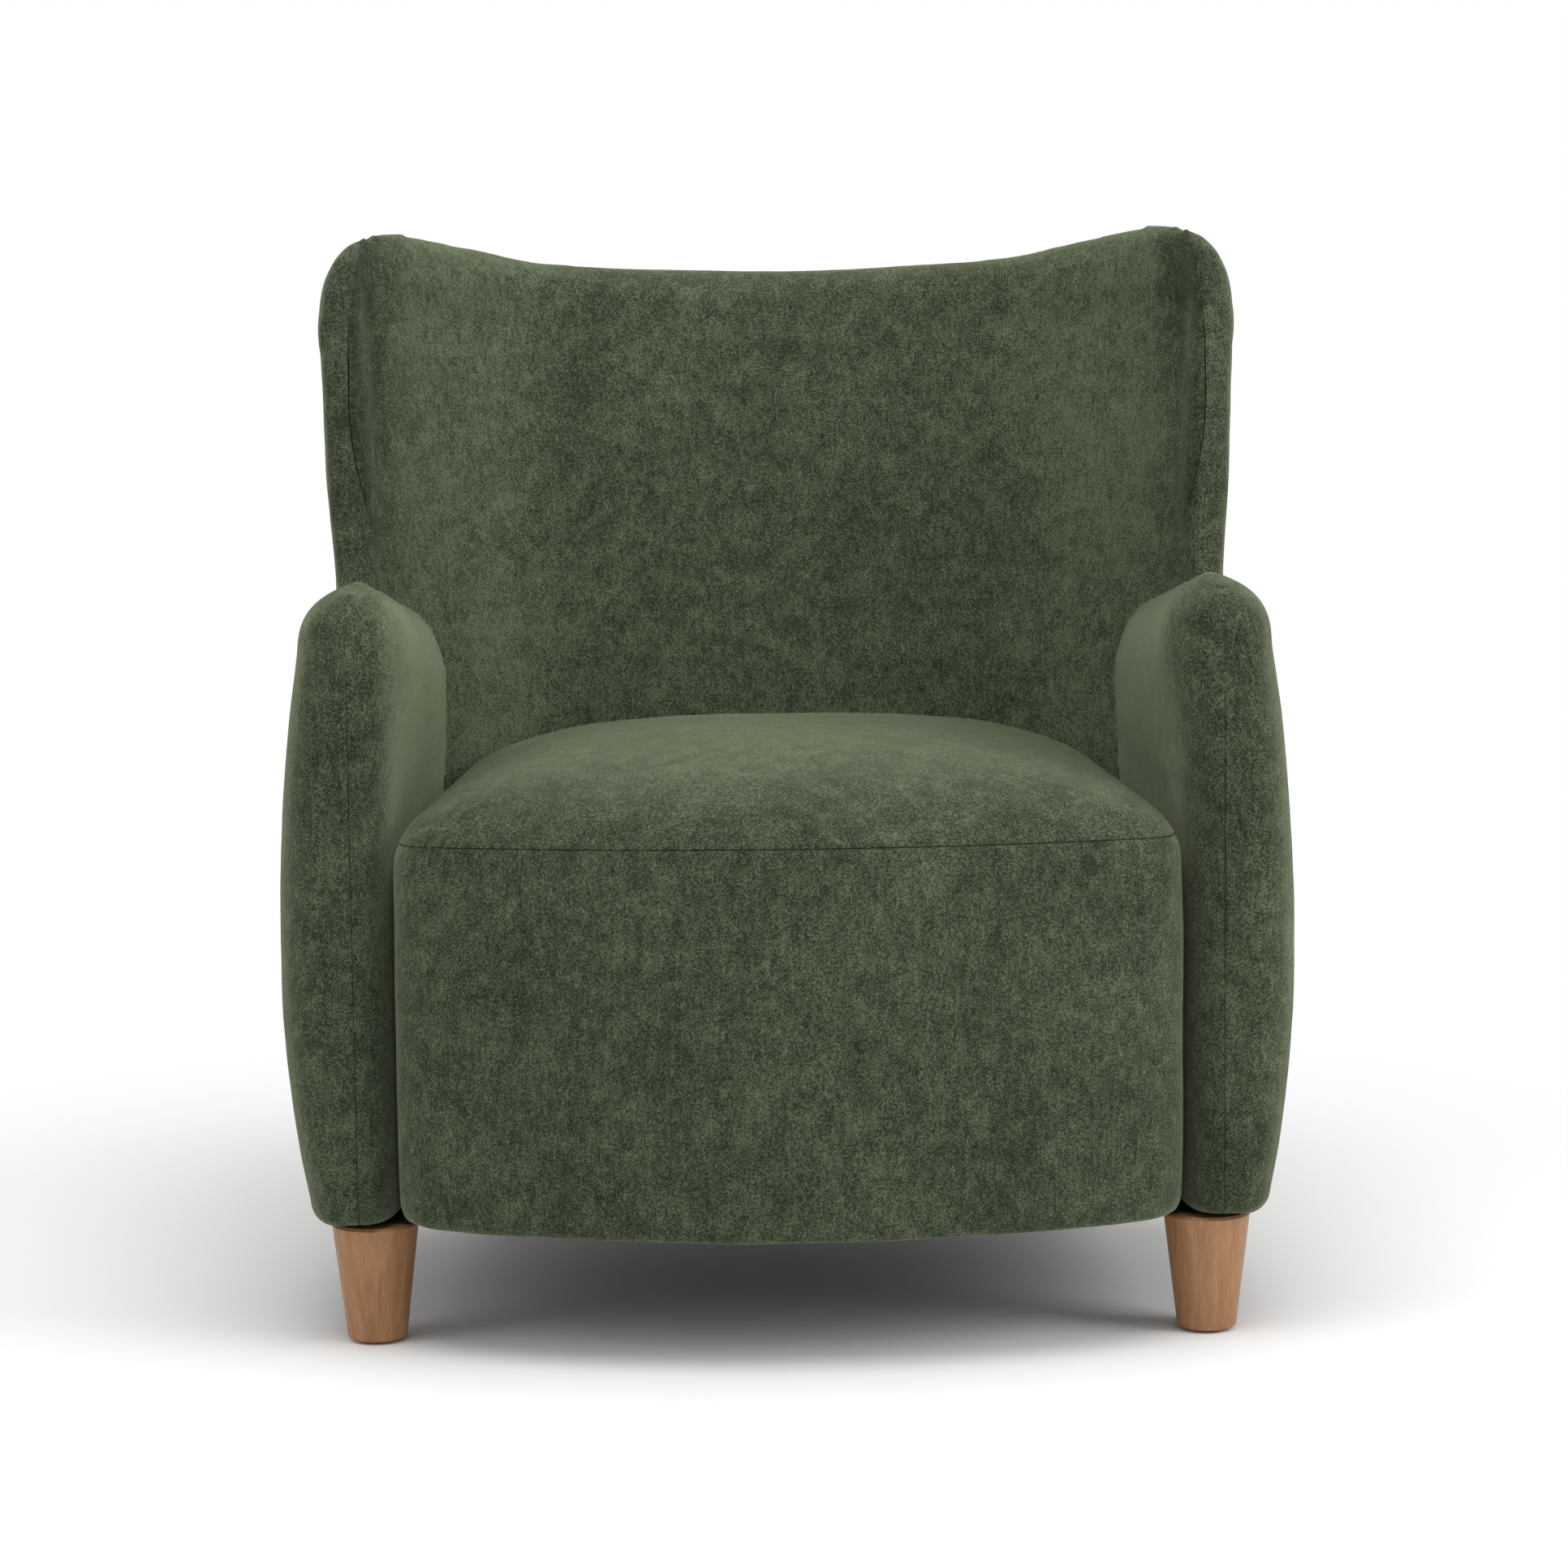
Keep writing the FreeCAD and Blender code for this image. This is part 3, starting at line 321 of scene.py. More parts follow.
def swell(obj, held):
    """How far the cover puffs out under pressure where it isn't held.

    It starts a little under its final size.
    """
    mesh = obj.data
    rest = coords(mesh)
    free = (1 - held)[:, None]
    set_coords(mesh, rest - SHRINK * free * normals(mesh))
    group = obj.vertex_groups.new(name="held")
    for i, weight in enumerate(held):
        if weight > HELD_LEAST:
            group.add([i], float(weight), "REPLACE")
    settings = obj.modifiers.new("Cover", "CLOTH").settings
    for key, value in CLOTH.items():
        setattr(settings, key, value)
    settings.effector_weights.gravity = 0
    settings.vertex_group_mass = group.name
    for step in range(CLOTH_FRAMES + 1):
        scene.frame_set(step)
    graph = bpy.context.evaluated_depsgraph_get()
    moved = coords(obj.evaluated_get(graph).data) - rest
    obj.modifiers.clear()
    obj.vertex_groups.clear()
    scene.frame_set(1)
    set_coords(mesh, rest)
    lift = np.clip(np.sum(moved * normals(mesh), axis=1), SWELL_LOW, SWELL_HIGH)
    for _ in range(LIFT_PASSES):
        lift = SHARE * lift + SHARE * neighbour_mean(mesh, lift[:, None])[:, 0]
    return lift


def subdivided(obj):
    step = obj.modifiers.new("Fine", "SUBSURF")
    step.levels = step.render_levels = 1
    return settle(obj)


def put_value(mesh, name, values):
    attribute = mesh.attributes.get(name) or mesh.attributes.new(name, "FLOAT", "POINT")
    attribute.data.foreach_set("value", values.astype(np.float32))


def take_value(mesh, name):
    values = np.empty(len(mesh.vertices), np.float32)
    mesh.attributes[name].data.foreach_get("value", values)
    return values.astype(float)


def uneven(mesh, seed, amount):
    """Small hollows and swellings of hand-laid padding."""
    co, no = coords(mesh), normals(mesh)
    shift = Vector([seed * step for step in PADDING_SHIFT])
    lift = np.array([
        noise.noise(Vector(p) * PADDING_SCALE + shift)
        + PADDING_FINE_SHARE * noise.noise(Vector(p) * PADDING_FINE_SCALE + shift)
        for p in co])
    set_coords(mesh, co + amount * lift[:, None] * no)


# Seams


def side_of(face, value):
    return sum(value.get(v, 0.0) for v in face.verts)


def cut_along(bm, level):
    """Cuts the mesh where level changes sign, and marks its edges there.

    Where the cut would pass near an edge's end, the end moves onto it instead.
    """
    verts = list(bm.verts)
    value = dict(zip(verts, level(np.array([v.co for v in verts])).tolist()))
    crossing = [e for e in bm.edges if value[e.verts[0]] * value[e.verts[1]] < 0]
    for e in crossing:
        a, b = e.verts
        if value[a] * value[b] >= 0:
            continue
        t = value[a] / (value[a] - value[b])
        if t < SNAP or t > 1 - SNAP:
            near = a if t < SNAP else b
            near.co = a.co.lerp(b.co, t)
            value[near] = 0.0
        else:
            _, new = bmesh.utils.edge_split(e, a, t)
            value[new] = 0.0
    line = {v for v, x in value.items() if x == 0.0}
    for face in {f for v in line for f in v.link_faces}:
        on = [v for v in face.verts if v in line]
        if len(on) == 2:
            if not any(on[1] in e.verts for e in on[0].link_edges if face in e.link_faces):
                bmesh.utils.face_split(face, on[0], on[1])
        elif len(on) > 2:
            bmesh.ops.connect_verts(bm, verts=on)
    for e in bm.edges:
        if e.verts[0] in line and e.verts[1] in line and len(e.link_faces) == 2:
            one, other = (side_of(face, value) for face in e.link_faces)
            e.seam = e.seam or one * other < 0


def seam_strength(p):
    """The seat's seam sinks in most. Those of the arms and wings fade over the round tops."""
    x, z = np.abs(p[:, 0]), p[:, 2]
    arm_top = ramp(z, *ARM_TOP_UP) * (1 - ramp(z, *ARM_TOP_END))
    side = (ARM_SINK + WING_SINK_MORE * ramp(z, *WING_SINK_UP)) * (1 - ARM_TOP_FADE * arm_top)
    middle = np.where(z > BACK_SINK_FROM, BACK_SINK, SEAT_SINK)
    tip = ramp(x, *TIP_ACROSS) * ramp(z, *TIP_UP)
    return np.where(x > SIDE_SEAMS_FROM, side, middle) * (1 - TIP_FADE * tip)


def valley(mesh, levels):
    """Draws the cover in along its seams."""
    co, no = coords(mesh), normals(mesh)
    sink = np.zeros(len(co))
    for level in levels:
        sink = np.maximum(sink, np.exp(-np.abs(level(co)) / VALLEY_WIDE))
    set_coords(mesh, co - (VALLEY_DEEP * sink * seam_strength(co))[:, None] * no)


def panels(obj, levels, name_of):
    """Cuts an upholstered form into its panels. name_of gives their names from faces' middles."""
    valley(obj.data, levels)
    bm = bmesh.new()
    bm.from_mesh(obj.data)
    for level in levels:
        cut_along(bm, level)
    bm.normal_update()
    whole = bm.verts.layers.float_vector.new("whole")
    for v in bm.verts:
        v[whole] = v.normal
    bmesh.ops.split_edges(bm, edges=[e for e in bm.edges if e.seam])
    owners = {}
    faces = list(bm.faces)
    middles = np.array([face.calc_center_median() for face in faces])
    for face, name in zip(faces, name_of(middles)):
        owners.setdefault(str(name), []).append(face)
    made = {}
    for name, own in owners.items():
        mine = set(own)
        joined = largest_group(
            own, lambda f: [g for e in f.edges for g in e.link_faces if g in mine])
        made[name] = panel(name, joined, whole)
    bm.free()
    bpy.data.objects.remove(obj)
    return made


def panel(name, faces, whole):
    """One panel of a cut form, with its edges turned in along the seams and a lining under it.

    It keeps the normals of the whole form.
    """
    index, uses = {}, Counter()
    for face in faces:
        uses.update(face.edges)
        for v in face.verts:
            index.setdefault(v, len(index))
    count = len(index)
    outer = np.array([v.co for v in index])
    normal = np.array([v[whole] for v in index])
    strength = seam_strength(outer)
    rim = []
    for face in faces:
        for loop in face.loops:
            if uses[loop.edge] == 1:
                a, b = index[loop.vert], index[loop.link_loop_next.vert]
                rim.append([b, a, a + count, b + count])
    on_edge = {i for quad in rim for i in quad[:2]}
    for v, i in index.items():
        if i in on_edge:
            inner_edges = [e for e in v.link_edges if uses[e] == 2]
            inward = sum((e.other_vert(v).co - v.co for e in inner_edges), Vector())
            inward -= inward.dot(v[whole]) * v[whole]
            turned = 0.5 * SEAM_GAP * inward.normalized() - SEAM_LIP * v[whole]
            outer[i] += strength[i] * np.array(turned)
    sides = [[index[v] for v in face.verts] for face in faces]
    lining = [[i + count for i in reversed(side)] for side in sides]
    points = np.vstack([outer, outer - COVER * normal]).tolist()
    mesh = bpy.data.meshes.new(name)
    mesh.from_pydata(points, [], sides + lining + rim)
    mesh.update()
    shade_smooth(mesh)
    mesh.normals_split_custom_set_from_vertices(normal.tolist() + [(0, 0, 0)] * count)
    return new_object(name, mesh)


def seat_level(p):
    return p[:, 2] - SEAT_SEAM_HEIGHT + SEAT_SEAM_PITCH * (p[:, 1] - SEAT_SEAM_LEVEL_Y)


def arm_level(p):
    return np.abs(p[:, 0]) - ARM_SEAM_X


def wing_level(p):
    """A wing's seam lies furthest out below the tip, and nearer in at the arm and behind."""
    x, y, z = np.abs(p[:, 0]), p[:, 1], p[:, 2]
    out = ramp(z, *WING_SEAM_RISE) * (1 - WING_SEAM_RETURN_SHARE * ramp(z, *WING_SEAM_RETURN))
    behind = y - (WING_SEAM_BEHIND_Y + WING_RECLINE * (z - BACK_LEVEL) + SHIFT_Y)
    inward = WING_SEAM_BEHIND * ramp(behind, 0.0, WING_SEAM_BEHIND_WIDE)
    return x - (WING_SEAM_X + WING_SEAM_OUT * out - inward)


def crest_level(p):
    x, y, z = np.minimum(np.abs(p[:, 0]), CREST_SEAM_END), p[:, 1], p[:, 2]
    bend = CREST_SEAM_BEND * (x / CREST_SEAM_SPAN) ** CREST_SEAM_POWER
    return y - (CREST_SEAM_Y - bend) - CREST_RECLINE * (z - BACK_LEVEL)


# Forms


def nowhere(p):
    return np.zeros(len(p))


def arm_rounded(p):
    """Where an arm's top is a smooth dome."""
    return ramp(p[:, 2], *ARM_DOME_UP)


def wing_rounded(p):
    """Where a wing's tip is a smooth dome."""
    return ramp(np.abs(p[:, 0]), *WING_DOME_ACROSS) * ramp(p[:, 2], *WING_DOME_UP)


def arm_fullness(p):
    """An arm's outer side, its upper half more, and its top."""
    x, z = np.abs(p[:, 0]), p[:, 2]
    side = (ARM_SIDE_FULL + ARM_UPPER_FULL * ramp(z, *ARM_UPPER_UP)) * ramp(x, *ARM_SIDE_ACROSS)
    return side + ARM_TOP_FULL * ramp(z, *ARM_TOP_FULL_UP)


def wing_fullness(p):
    """The wings' bands, and the crest where it rises to their tips."""
    x, z = np.abs(p[:, 0]), p[:, 2]
    band = ramp(x, *BAND_ACROSS) * ramp(z, *BAND_UP) * (1 - BAND_END_SHARE * ramp(z, *BAND_END))
    crest = ramp(x, *CREST_ACROSS) * (1 - ramp(x, *CREST_END)) * ramp(z, *CREST_UP)
    return BAND_FULL * band + CREST_FULL * crest + TIP_FULL * wing_rounded(p)


def form(name, covers, inner, hollows, levels, others, fullness, rounded):
    """A module's upholstered form, before it is cut into panels."""
    obj = wrapped(name, covers, inner, hollows)
    tree = tree_of(covers)
    for _ in range(FIT_ROUNDS):
        smooth(obj.data, FIT_PASSES)
        lay_on(obj.data, tree, VOXEL)
    smooth(obj.data, 1, GENTLE_SHARE)
    co = coords(obj.data)
    near = distance(tree_of(others), co, CONTACT_FAR)
    contact = 1 - ramp(near, CONTACT_NEAR, CONTACT_FAR)
    lift = np.zeros(len(co))
    sewn = np.max([np.exp(-(level(co) / VOXEL) ** 2) for level in levels], axis=0)
    lift = swell(obj, np.maximum(sewn, contact))
    lift = lift * (1 - rounded(co)) + fullness(co)
    put_value(obj.data, "lift", lift * (1 - contact) - CONTACT_GAP * contact)
    mesh = subdivided(obj)
    smooth(mesh, FINE_PASSES, GENTLE_SHARE)
    lay_on(mesh, tree, 0.5 * VOXEL)
    smooth(mesh, 1, LAST_SHARE)
    bare = distance(tree, coords(mesh), BARE) >= BARE
    set_coords(mesh, coords(mesh) + take_value(mesh, "lift")[:, None] * normals(mesh))
    smooth(mesh, ROUNDING_PASSES, SHARE * rounded(coords(mesh))[:, None])
    open_up(mesh, bare)
    return obj


def open_up(mesh, bare):
    """Takes away what closed the cover's open underside."""
    bm = bmesh.new()
    bm.from_mesh(mesh)
    bmesh.ops.delete(bm, geom=[v for v, out in zip(bm.verts, bare) if out], context="VERTS")
    bm.to_mesh(mesh)
    bm.free()


def mirrored(obj, name):
    mesh = obj.data.copy()
    co = coords(mesh)
    co[:, 0] *= -1
    set_coords(mesh, co)
    mesh.flip_normals()
    return new_object(name, mesh)


def seat_panel(p):
    return np.where(seat_level(p) > 0, "seat_top_panel", "seat_border_panel")


def arm_panel(p):
    side = np.where(p[:, 0] > 0, "arm_right", "arm_left")
    return np.char.add(side, np.where(arm_level(p) > 0, "_outer_panel", "_inner_panel"))


def back_panel(p):
    middle = np.where(crest_level(p) > 0, "back_outside_panel", "back_inside_panel")
    band = np.where(p[:, 0] > 0, "wing_band_panel_right", "wing_band_panel_left")
    return np.where(wing_level(p) > 0, band, middle)


seat_form = form(
    "seat_form", SEAT_COVERS, SEAT_INNER, [SEAT_HOLLOW], [seat_level],
    ARM_RIGHT_COVERS + ARM_LEFT_COVERS + BACK_COVERS, nowhere, nowhere)
arm_right_form = form(
    "arm_form", ARM_RIGHT_COVERS, ARM_INNER, [ARM_HOLLOW], [arm_level],
    SEAT_COVERS + BACK_COVERS, arm_fullness, arm_rounded)
back_form = form(
    "back_form", BACK_COVERS, BACK_INNER, [], [wing_level, crest_level],
    SEAT_COVERS + ARM_RIGHT_COVERS + ARM_LEFT_COVERS, wing_fullness, wing_rounded)
arm_left_form = mirrored(arm_right_form, "arm_left_form")

uneven(seat_form.data, seed=1, amount=0.0009)
uneven(back_form.data, seed=2, amount=0.0010)
uneven(arm_right_form.data, seed=3, amount=0.0007)
uneven(arm_left_form.data, seed=4, amount=0.0007)

upholstery = {}
upholstery.update(panels(seat_form, [seat_level], seat_panel))
upholstery.update(panels(arm_right_form, [arm_level], arm_panel))
upholstery.update(panels(arm_left_form, [arm_level], arm_panel))
upholstery.update(panels(back_form, [wing_level, crest_level], back_panel))

STANDS_FOR = {
    "seat_top_panel": ["seat_top_cover", "seat_foam"],
    "seat_border_panel": ["seat_border_cover"],
    "back_inside_panel": ["back_inside_cover", "back_foam"],
    "back_outside_panel": ["back_outside_cover"],
    "wing_band_panel_right": ["wing_band_right"],
    "wing_band_panel_left": ["wing_band_left"],
    "arm_right_inner_panel": ["arm_right_inner_cover", "arm_right_foam"],
    "arm_right_outer_panel": ["arm_right_outer_cover"],
    "arm_left_inner_panel": ["arm_left_inner_cover", "arm_left_foam"],
    "arm_left_outer_panel": ["arm_left_outer_cover"],
}
for name, piece in upholstery.items():
    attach(piece, "root")
    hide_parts(*STANDS_FOR[name])


# Dust cover

DUST_SAG = 0.004
DUST_THICK = 0.0008
DUST_GRID = 0.02
DUST_WELD = 1e-6
FACES_UP = 0.5


def dust_sheet():
    """The black cloth under the chair: flat at its stapled edge, sagging towards its middle."""
    bm = bmesh.new()
    bm.from_mesh(nodes["dust_cover"].data)
    bmesh.ops.remove_doubles(bm, verts=bm.verts, dist=DUST_WELD)
    bm.normal_update()
    others = [f for f in bm.faces if f.normal.z < FACES_UP]
    bmesh.ops.delete(bm, geom=others, context="FACES")
    co = np.array([v.co for v in bm.verts])
    low, high = co.min(axis=0), co.max(axis=0)
    for axis, cut in enumerate((Vector((1, 0, 0)), Vector((0, 1, 0)))):
        for place in np.arange(low[axis] + DUST_GRID, high[axis], DUST_GRID):
            bmesh.ops.bisect_plane(
                bm, geom=bm.verts[:] + bm.edges[:] + bm.faces[:], dist=DUST_WELD,
                plane_co=cut * float(place), plane_no=cut)
    middle = (low + high) / 2
    for v in bm.verts:
        if not v.is_boundary:
            across = min(1, abs(v.co.x - middle[0]) / (high[0] - middle[0]))
            along = min(1, abs(v.co.y - middle[1]) / (high[1] - middle[1]))
            v.co.z -= DUST_SAG * (1 - across ** 2) * (1 - along ** 2)
    mesh = bpy.data.meshes.new("dust_sheet")
    bm.to_mesh(mesh)
    bm.free()
    obj = new_object("dust_sheet", mesh)
    thick = obj.modifiers.new("Cloth", "SOLIDIFY")
    thick.thickness = DUST_THICK
    thick.offset = -1.0
    shade_smooth(settle(obj))
    return obj


dust = dust_sheet()
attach(dust, "root")
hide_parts("dust_cover")


# Materials


class Shader:
    """A principled material with short ways to add and join nodes."""

    def __init__(self, name, **sockets):
        self.material = bpy.data.materials.new(name)
        self.material.use_nodes = True
        self.tree = self.material.node_tree
        self.bsdf = self.tree.nodes["Principled BSDF"]
        for socket, value in sockets.items():
            self.bsdf.inputs[socket.replace("_", " ")].default_value = value

    def node(self, kind, **settings):
        made = self.tree.nodes.new("ShaderNode" + kind)
        for key, value in settings.items():
            setattr(made, key, value)
        return made

    def join(self, source, target):
        self.tree.links.new(source, target)

    def place(self, scale=(1, 1, 1)):
        mapping = self.node("Mapping")
        mapping.inputs["Scale"].default_value = scale
        self.join(self.node("TexCoord").outputs["Object"], mapping.inputs["Vector"])
        return mapping.outputs["Vector"]

    def noise(self, where, scale, detail, roughness, distortion=0.0):
        made = self.node("TexNoise")
        self.join(where, made.inputs["Vector"])
        made.inputs["Scale"].default_value = scale
        made.inputs["Detail"].default_value = detail
        made.inputs["Roughness"].default_value = roughness
        made.inputs["Distortion"].default_value = distortion
        return made.outputs["Fac"]

    def math(self, operation, a, b):
        made = self.node("Math", operation=operation)
        for socket, value in zip(made.inputs, (a, b)):
            if isinstance(value, (int, float)):
                socket.default_value = value
            else:
                self.join(value, socket)
        return made.outputs[0]

    def total(self, parts, base):
        """base plus each value's swing about its middle, weighted."""
        out = base
        for value, weight in parts:
            swing = self.math("MULTIPLY", self.math("SUBTRACT", value, 0.5), weight)
            out = self.math("ADD", swing, out)
        return out

    def ramp(self, value, stops):
        made = self.node("ValToRGB")
        elements = made.color_ramp.elements
        while len(elements) < len(stops):
            elements.new(0.5)
        for element, (place, colour) in zip(elements, stops):
            element.position = place
            element.color = (*colour, 1)
        self.join(value, made.inputs["Fac"])
        return made.outputs["Color"]

    def bump(self, height, strength, far):
        made = self.node("Bump")
        made.inputs["Strength"].default_value = strength
        made.inputs["Distance"].default_value = far
        self.join(height, made.inputs["Height"])
        self.join(made.outputs["Normal"], self.bsdf.inputs["Normal"])


def srgb(*levels):
    """Linear colour of three sRGB levels up to 255."""
    shares = [level / 255 for level in levels]
    return tuple(c / 12.92 if c <= 0.04045 else ((c + 0.055) / 1.055) ** 2.4 for c in shares)


VELVET_SHEEN = (0.63, 0.72, 0.46, 1)
VELVET_COLOURS = [(0.17, srgb(34, 39, 30)), (0.5, srgb(61, 68, 52)), (0.83, srgb(98, 108, 84))]


def velvet():
    """Mottled pile. The painted light and shade value of a vertex makes it lighter or darker."""
    s = Shader(
        "velvet", Roughness=0.95, Sheen_Weight=0.5, Sheen_Roughness=0.4,
        Sheen_Tint=VELVET_SHEEN, Specular_IOR_Level=0.05)
    upright = s.place()
    clouds = s.noise(upright, scale=9, detail=2, roughness=0.5)
    brushed = s.noise(upright, scale=55, detail=4, roughness=0.65, distortion=0.4)
    streaks = s.noise(s.place(scale=(1, 1, 0.25)), scale=260, detail=3, roughness=0.6)
    specks = s.noise(upright, scale=640, detail=3, roughness=0.7)
    fuzz = s.noise(upright, scale=1600, detail=2, roughness=0.6)
    # Painted light and shade: a vertex value that makes the colour lighter or darker where light
    # falls or shade lies
    painted_shading = s.node("Attribute", attribute_name="painted_shading").outputs["Fac"]
    grain = [(streaks, 0.5), (specks, 1.9), (fuzz, 1.1)]
    shade = s.total([(clouds, 0.3), (brushed, 0.65)] + grain, s.math("ADD", painted_shading, 0.5))
    s.join(s.ramp(shade, VELVET_COLOURS), s.bsdf.inputs["Base Color"])
    s.bump(s.total(grain, 0.5), strength=0.35, far=0.0012)
    return s.material


def wood(name, dark, light, gloss):
    """Straight grain along Z."""
    s = Shader(name, Roughness=gloss, Specular_IOR_Level=0.35)
    grain = s.noise(
        s.place(scale=(30, 30, 1.6)), scale=4, detail=5, roughness=0.6, distortion=1.2)
    pores = s.noise(s.place(scale=(260, 260, 9)), scale=3, detail=3, roughness=0.6)
    tone = s.noise(s.place(), scale=6, detail=2, roughness=0.5)
    shade = s.total([(grain, 0.8), (pores, 0.35), (tone, 0.4)], 0.5)
    s.join(s.ramp(shade, [(0.25, dark), (0.75, light)]), s.bsdf.inputs["Base Color"])
    s.bump(s.total([(pores, 0.6), (grain, 0.3)], 0.5), strength=0.12, far=0.0005)
    return s.material


def mottled(name, dark, light, scale, rough, metallic=0.0, bump=0.1):
    s = Shader(name, Roughness=rough, Metallic=metallic)
    grains = s.noise(s.place(), scale, detail=4, roughness=0.6)
    s.join(s.ramp(grains, [(0.3, dark), (0.7, light)]), s.bsdf.inputs["Base Color"])
    s.bump(grains, bump, far=0.0006)
    return s.material


velvet_cloth = velvet()
FINISHES = {
    "leg_wood": wood("leg_wood", srgb(134, 92, 58), srgb(178, 132, 92), gloss=0.42),
    "frame_wood": wood("frame_wood", srgb(172, 136, 92), srgb(205, 172, 126), gloss=0.7),
    "hardboard": mottled(
        "hardboard", srgb(96, 68, 44), srgb(126, 92, 62), scale=500, rough=0.8),
    "steel": mottled(
        "steel", (0.32, 0.33, 0.34), (0.5, 0.5, 0.51), scale=300, rough=0.35, metallic=1.0,
        bump=0.05),
    "webbing": mottled(
        "webbing", srgb(54, 48, 42), srgb(92, 82, 68), scale=700, rough=0.9, bump=0.3),
    "felt": mottled(
        "felt", srgb(120, 118, 112), srgb(168, 164, 156), scale=420, rough=0.95, bump=0.4),
    "dust_cloth": mottled(
        "dust_cloth", srgb(22, 22, 22), srgb(44, 44, 43), scale=800, rough=0.95, bump=0.3),
    "glide": mottled("glide", srgb(46, 40, 36), srgb(66, 58, 52), scale=300, rough=0.6),
}
LEGS = ("leg_front_right", "leg_front_left", "leg_rear_right", "leg_rear_left")
STEEL = (
    "back_bolts", "seat_bolts", "hanger_bolts", "tee_nuts", "seat_springs", "spring_clips",
    "seat_corner_screws", "dust_cover_staples",
)
FINISH_OF = {
    **dict.fromkeys(STEEL, "steel"),
    **dict.fromkeys(LEGS, "leg_wood"),
    "back_board": "hardboard",
    "arm_right_side_board": "hardboard",
    "arm_left_side_board": "hardboard",
    "back_webbing": "webbing",
    "spring_pad": "felt",
    "leg_glides": "glide",
}
LEG_SHARP = math.radians(35)

# Painted light and shade in the velvet's colour, from -0.5 for darkest to 0.5 for lightest
# Painted light where the inside of the back turns forward, painted shade by the wing seams
BACK_PAINTED_LIGHT = 0.15
BACK_PAINTED_LIGHT_ACROSS = (0.17, 0.26)
BACK_PAINTED_LIGHT_END = (0.305, 0.345)
BACK_PAINTED_SHADE = 0.12
BACK_PAINTED_SHADE_ACROSS = (0.32, 0.35)
# Painted light on the inner side of the left arm
FLANK_PAINTED_LIGHT = 0.22
FLANK_PAINTED_LIGHT_ACROSS = (-0.312, -0.300)


def paint(obj, material):
    obj.data.materials.clear()
    obj.data.materials.append(material)


def back_painted_light_and_shade(p):
    """Painted light on the inside of the back where it turns forward, and painted shade by the
    seams.
    """
    x = np.abs(p[:, 0])
    light = ramp(x, *BACK_PAINTED_LIGHT_ACROSS) * (1 - ramp(x, *BACK_PAINTED_LIGHT_END))
    return BACK_PAINTED_LIGHT * light - BACK_PAINTED_SHADE * ramp(x, *BACK_PAINTED_SHADE_ACROSS)


def flank_painted_light(p):
    """Painted light on the inner side of the left arm, where the light from the right falls."""
    return FLANK_PAINTED_LIGHT * ramp(p[:, 0], *FLANK_PAINTED_LIGHT_ACROSS)


# Panels whose colour gets painted light and shade
PAINTED_SHADING_OF = {"back_inside_panel": back_painted_light_and_shade, "arm_left_inner_panel": flank_painted_light}
for name, piece in upholstery.items():
    paint(piece, velvet_cloth)
    # Stores the painted light and shade as a vertex value
    put_value(piece.data, "painted_shading", PAINTED_SHADING_OF.get(name, nowhere)(coords(piece.data)))
paint(dust, FINISHES["dust_cloth"])
replaced = {"dust_cover"} | {node for names in STANDS_FOR.values() for node in names}
for name, obj in nodes.items():
    if name not in replaced:
        paint(obj, FINISHES[FINISH_OF.get(name, "frame_wood")])
        shade_smooth(obj.data, False)
for name in LEGS:
    nodes[name].data.set_sharp_from_angle(angle=LEG_SHARP)
    shade_smooth(nodes[name].data)


# Floor, light and camera

FLOOR_HALF = 7.0
FLOOR_COLOUR = (0.92, 0.92, 0.92, 1)
FLOOR_FADE = (0.5, 1.2)
AMBIENT = 0.5


def floor_white():
    """Pale floor that keeps the shadow, and fades to plain white away from the chair."""
    s = Shader("floor_white", Base_Color=FLOOR_COLOUR, Roughness=0.9, Specular_IOR_Level=0.0)
    from_chair = s.node("VectorMath", operation="LENGTH")
    s.join(s.place(), from_chair.inputs[0])
    fade = s.node("MapRange", interpolation_type="SMOOTHSTEP")
    fade.inputs["From Min"].default_value, fade.inputs["From Max"].default_value = FLOOR_FADE
    s.join(from_chair.outputs["Value"], fade.inputs["Value"])
    by_camera = s.node("LightPath").outputs["Is Camera Ray"]
    blend = s.node("MixShader")
    s.join(s.math("MULTIPLY", fade.outputs["Result"], by_camera), blend.inputs["Fac"])
    s.join(s.bsdf.outputs["BSDF"], blend.inputs[1])
    s.join(s.node("Emission").outputs["Emission"], blend.inputs[2])
    s.join(blend.outputs["Shader"], s.tree.nodes["Material Output"].inputs["Surface"])
    return s.material


def studio():
    """White world, seen at full strength and lighting the chair at less."""
    world = bpy.data.worlds.new("studio")
    world.use_nodes = True
    tree = world.node_tree
    background = tree.nodes["Background"]
    background.inputs["Color"].default_value = (1, 1, 1, 1)
    strength = tree.nodes.new("ShaderNodeMath")
    strength.operation = "MULTIPLY_ADD"
    strength.inputs[1].default_value = 1 - AMBIENT
    strength.inputs[2].default_value = AMBIENT
    light_path = tree.nodes.new("ShaderNodeLightPath")
    tree.links.new(light_path.outputs["Is Camera Ray"], strength.inputs[0])
    tree.links.new(strength.outputs[0], background.inputs["Strength"])
    return world


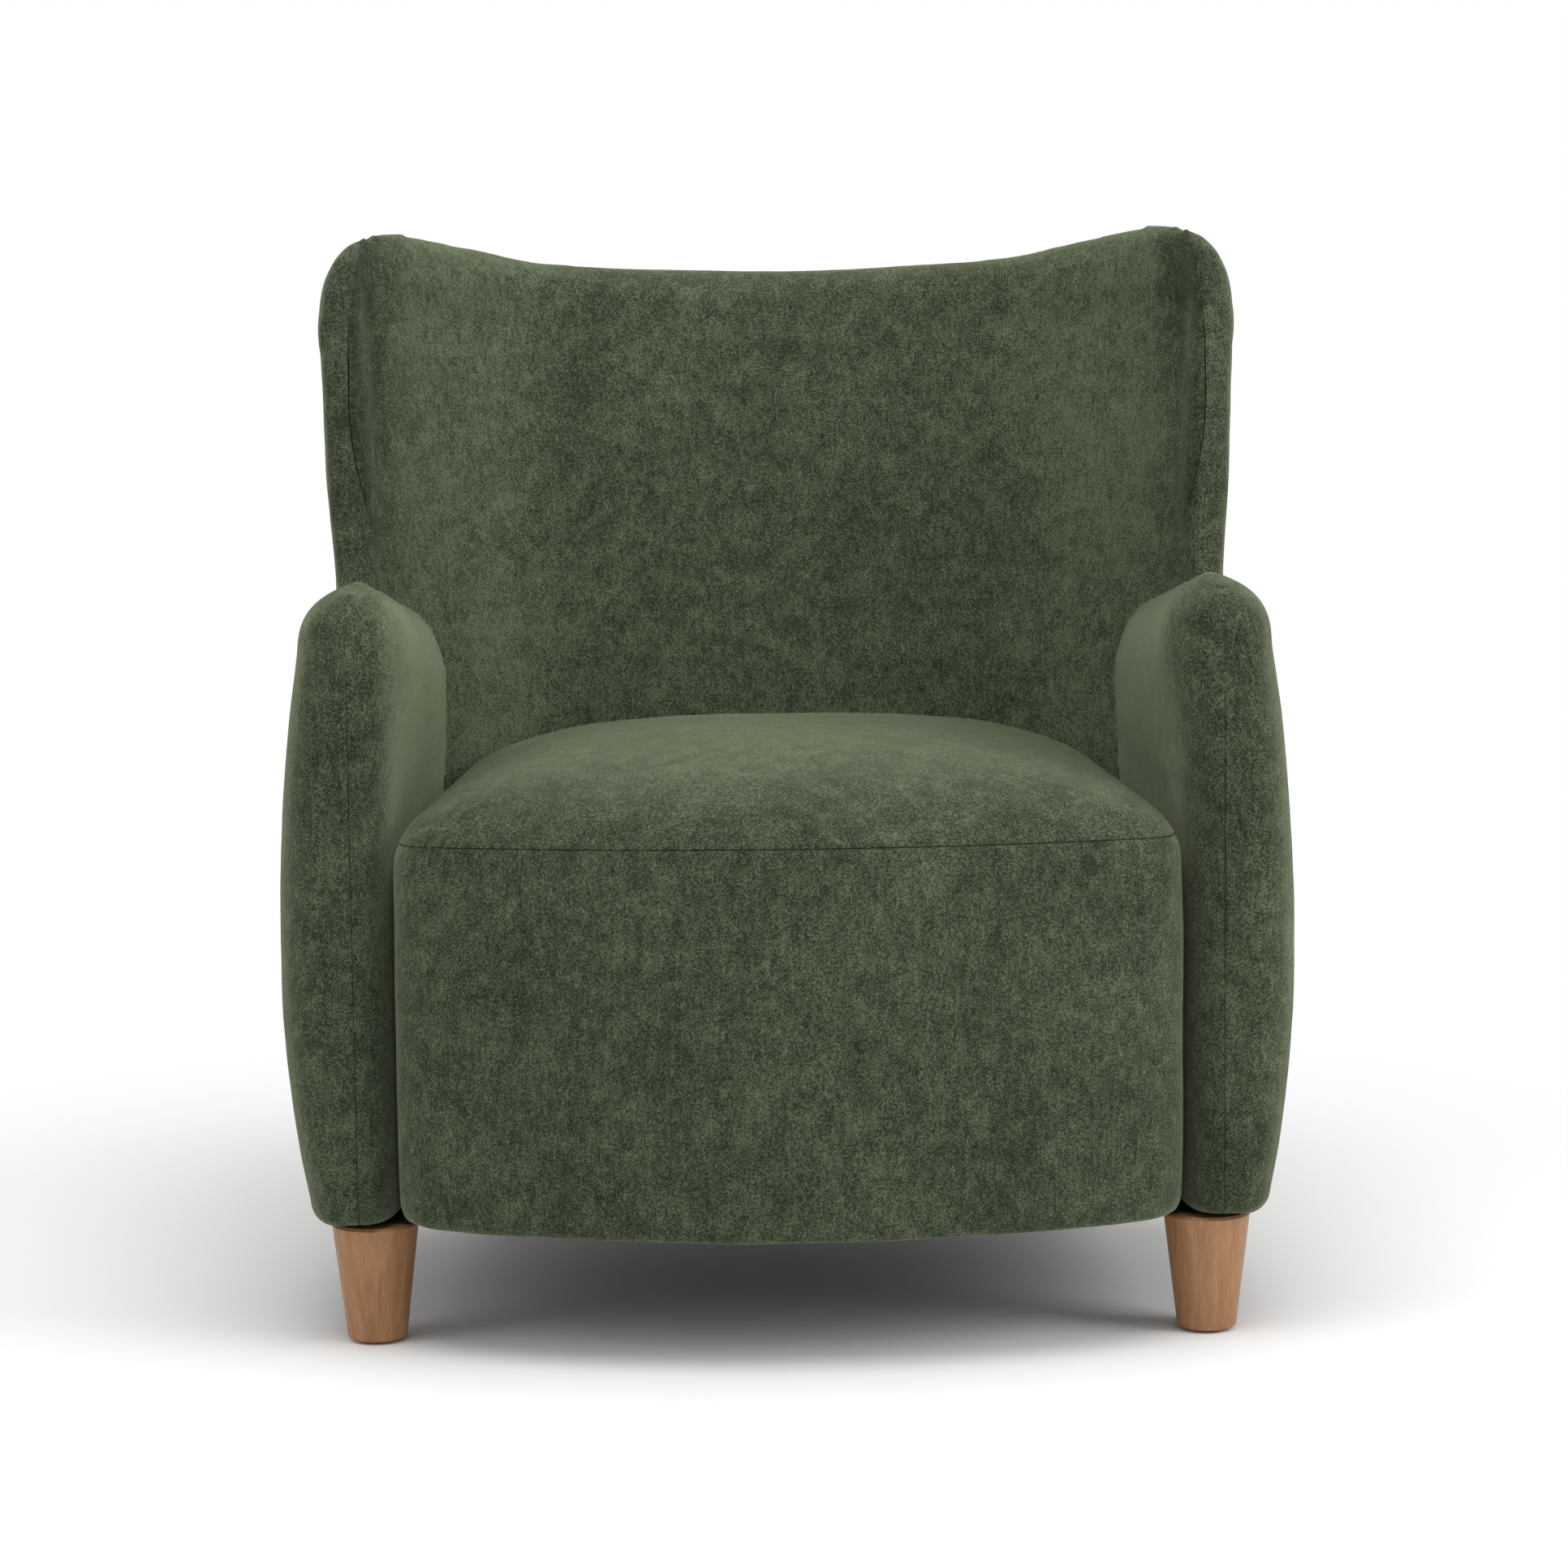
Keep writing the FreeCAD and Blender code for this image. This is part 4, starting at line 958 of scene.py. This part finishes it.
def lamp(name, place, target, size, power):
    light = bpy.data.lights.new(name, "AREA")
    light.shape = "DISK"
    light.size = size
    light.energy = power
    obj = new_object(name, light)
    obj.location = place
    aim = Vector(target) - Vector(place)
    obj.rotation_euler = aim.to_track_quat("-Z", "Y").to_euler()


floor_mesh = bpy.data.meshes.new("floor")
floor_corners = [
    (-FLOOR_HALF, -FLOOR_HALF, 0), (FLOOR_HALF, -FLOOR_HALF, 0),
    (FLOOR_HALF, FLOOR_HALF, 0), (-FLOOR_HALF, FLOOR_HALF, 0),
]
floor_mesh.from_pydata(floor_corners, [], [(0, 1, 2, 3)])
floor = new_object("floor", floor_mesh)
paint(floor, floor_white())

scene.world = studio()
lamp("overhead", place=(0.0, -0.6, 3.2), target=(0, 0, 0.4), size=2.6, power=61)
lamp("left", place=(-2.6, -1.4, 1.7), target=(0, 0, 0.5), size=1.8, power=15)
lamp("right", place=(2.6, -1.2, 1.6), target=(0, 0, 0.5), size=1.8, power=41)

CAMERA_PLACE = Vector((-0.034, -3.35135, 0.80))
CAMERA_PITCH = math.radians(6.76)
CAMERA_ROLL = math.radians(0.65)
CAMERA_YAW = math.radians(0.59)
SENSOR_WIDTH = 36.0
FOCAL_PIXELS = 5034
PHOTO_PIXELS = 1932

ahead = Vector((
    math.sin(CAMERA_YAW) * math.cos(CAMERA_PITCH),
    math.cos(CAMERA_YAW) * math.cos(CAMERA_PITCH),
    -math.sin(CAMERA_PITCH)))
across = ahead.cross(Vector((0, 0, 1))).normalized()
upward = across.cross(ahead)
turned_across = across * math.cos(CAMERA_ROLL) - upward * math.sin(CAMERA_ROLL)
turned_upward = upward * math.cos(CAMERA_ROLL) + across * math.sin(CAMERA_ROLL)
turn = Matrix((turned_across, turned_upward, -ahead)).transposed()
camera_data = bpy.data.cameras.new("camera")
camera_data.sensor_fit = "HORIZONTAL"
camera_data.sensor_width = SENSOR_WIDTH
camera_data.lens = FOCAL_PIXELS / PHOTO_PIXELS * SENSOR_WIDTH
camera = new_object("camera", camera_data)
camera.matrix_world = Matrix.Translation(CAMERA_PLACE) @ turn.to_4x4()
scene.camera = camera

scene.view_settings.view_transform = "Standard"
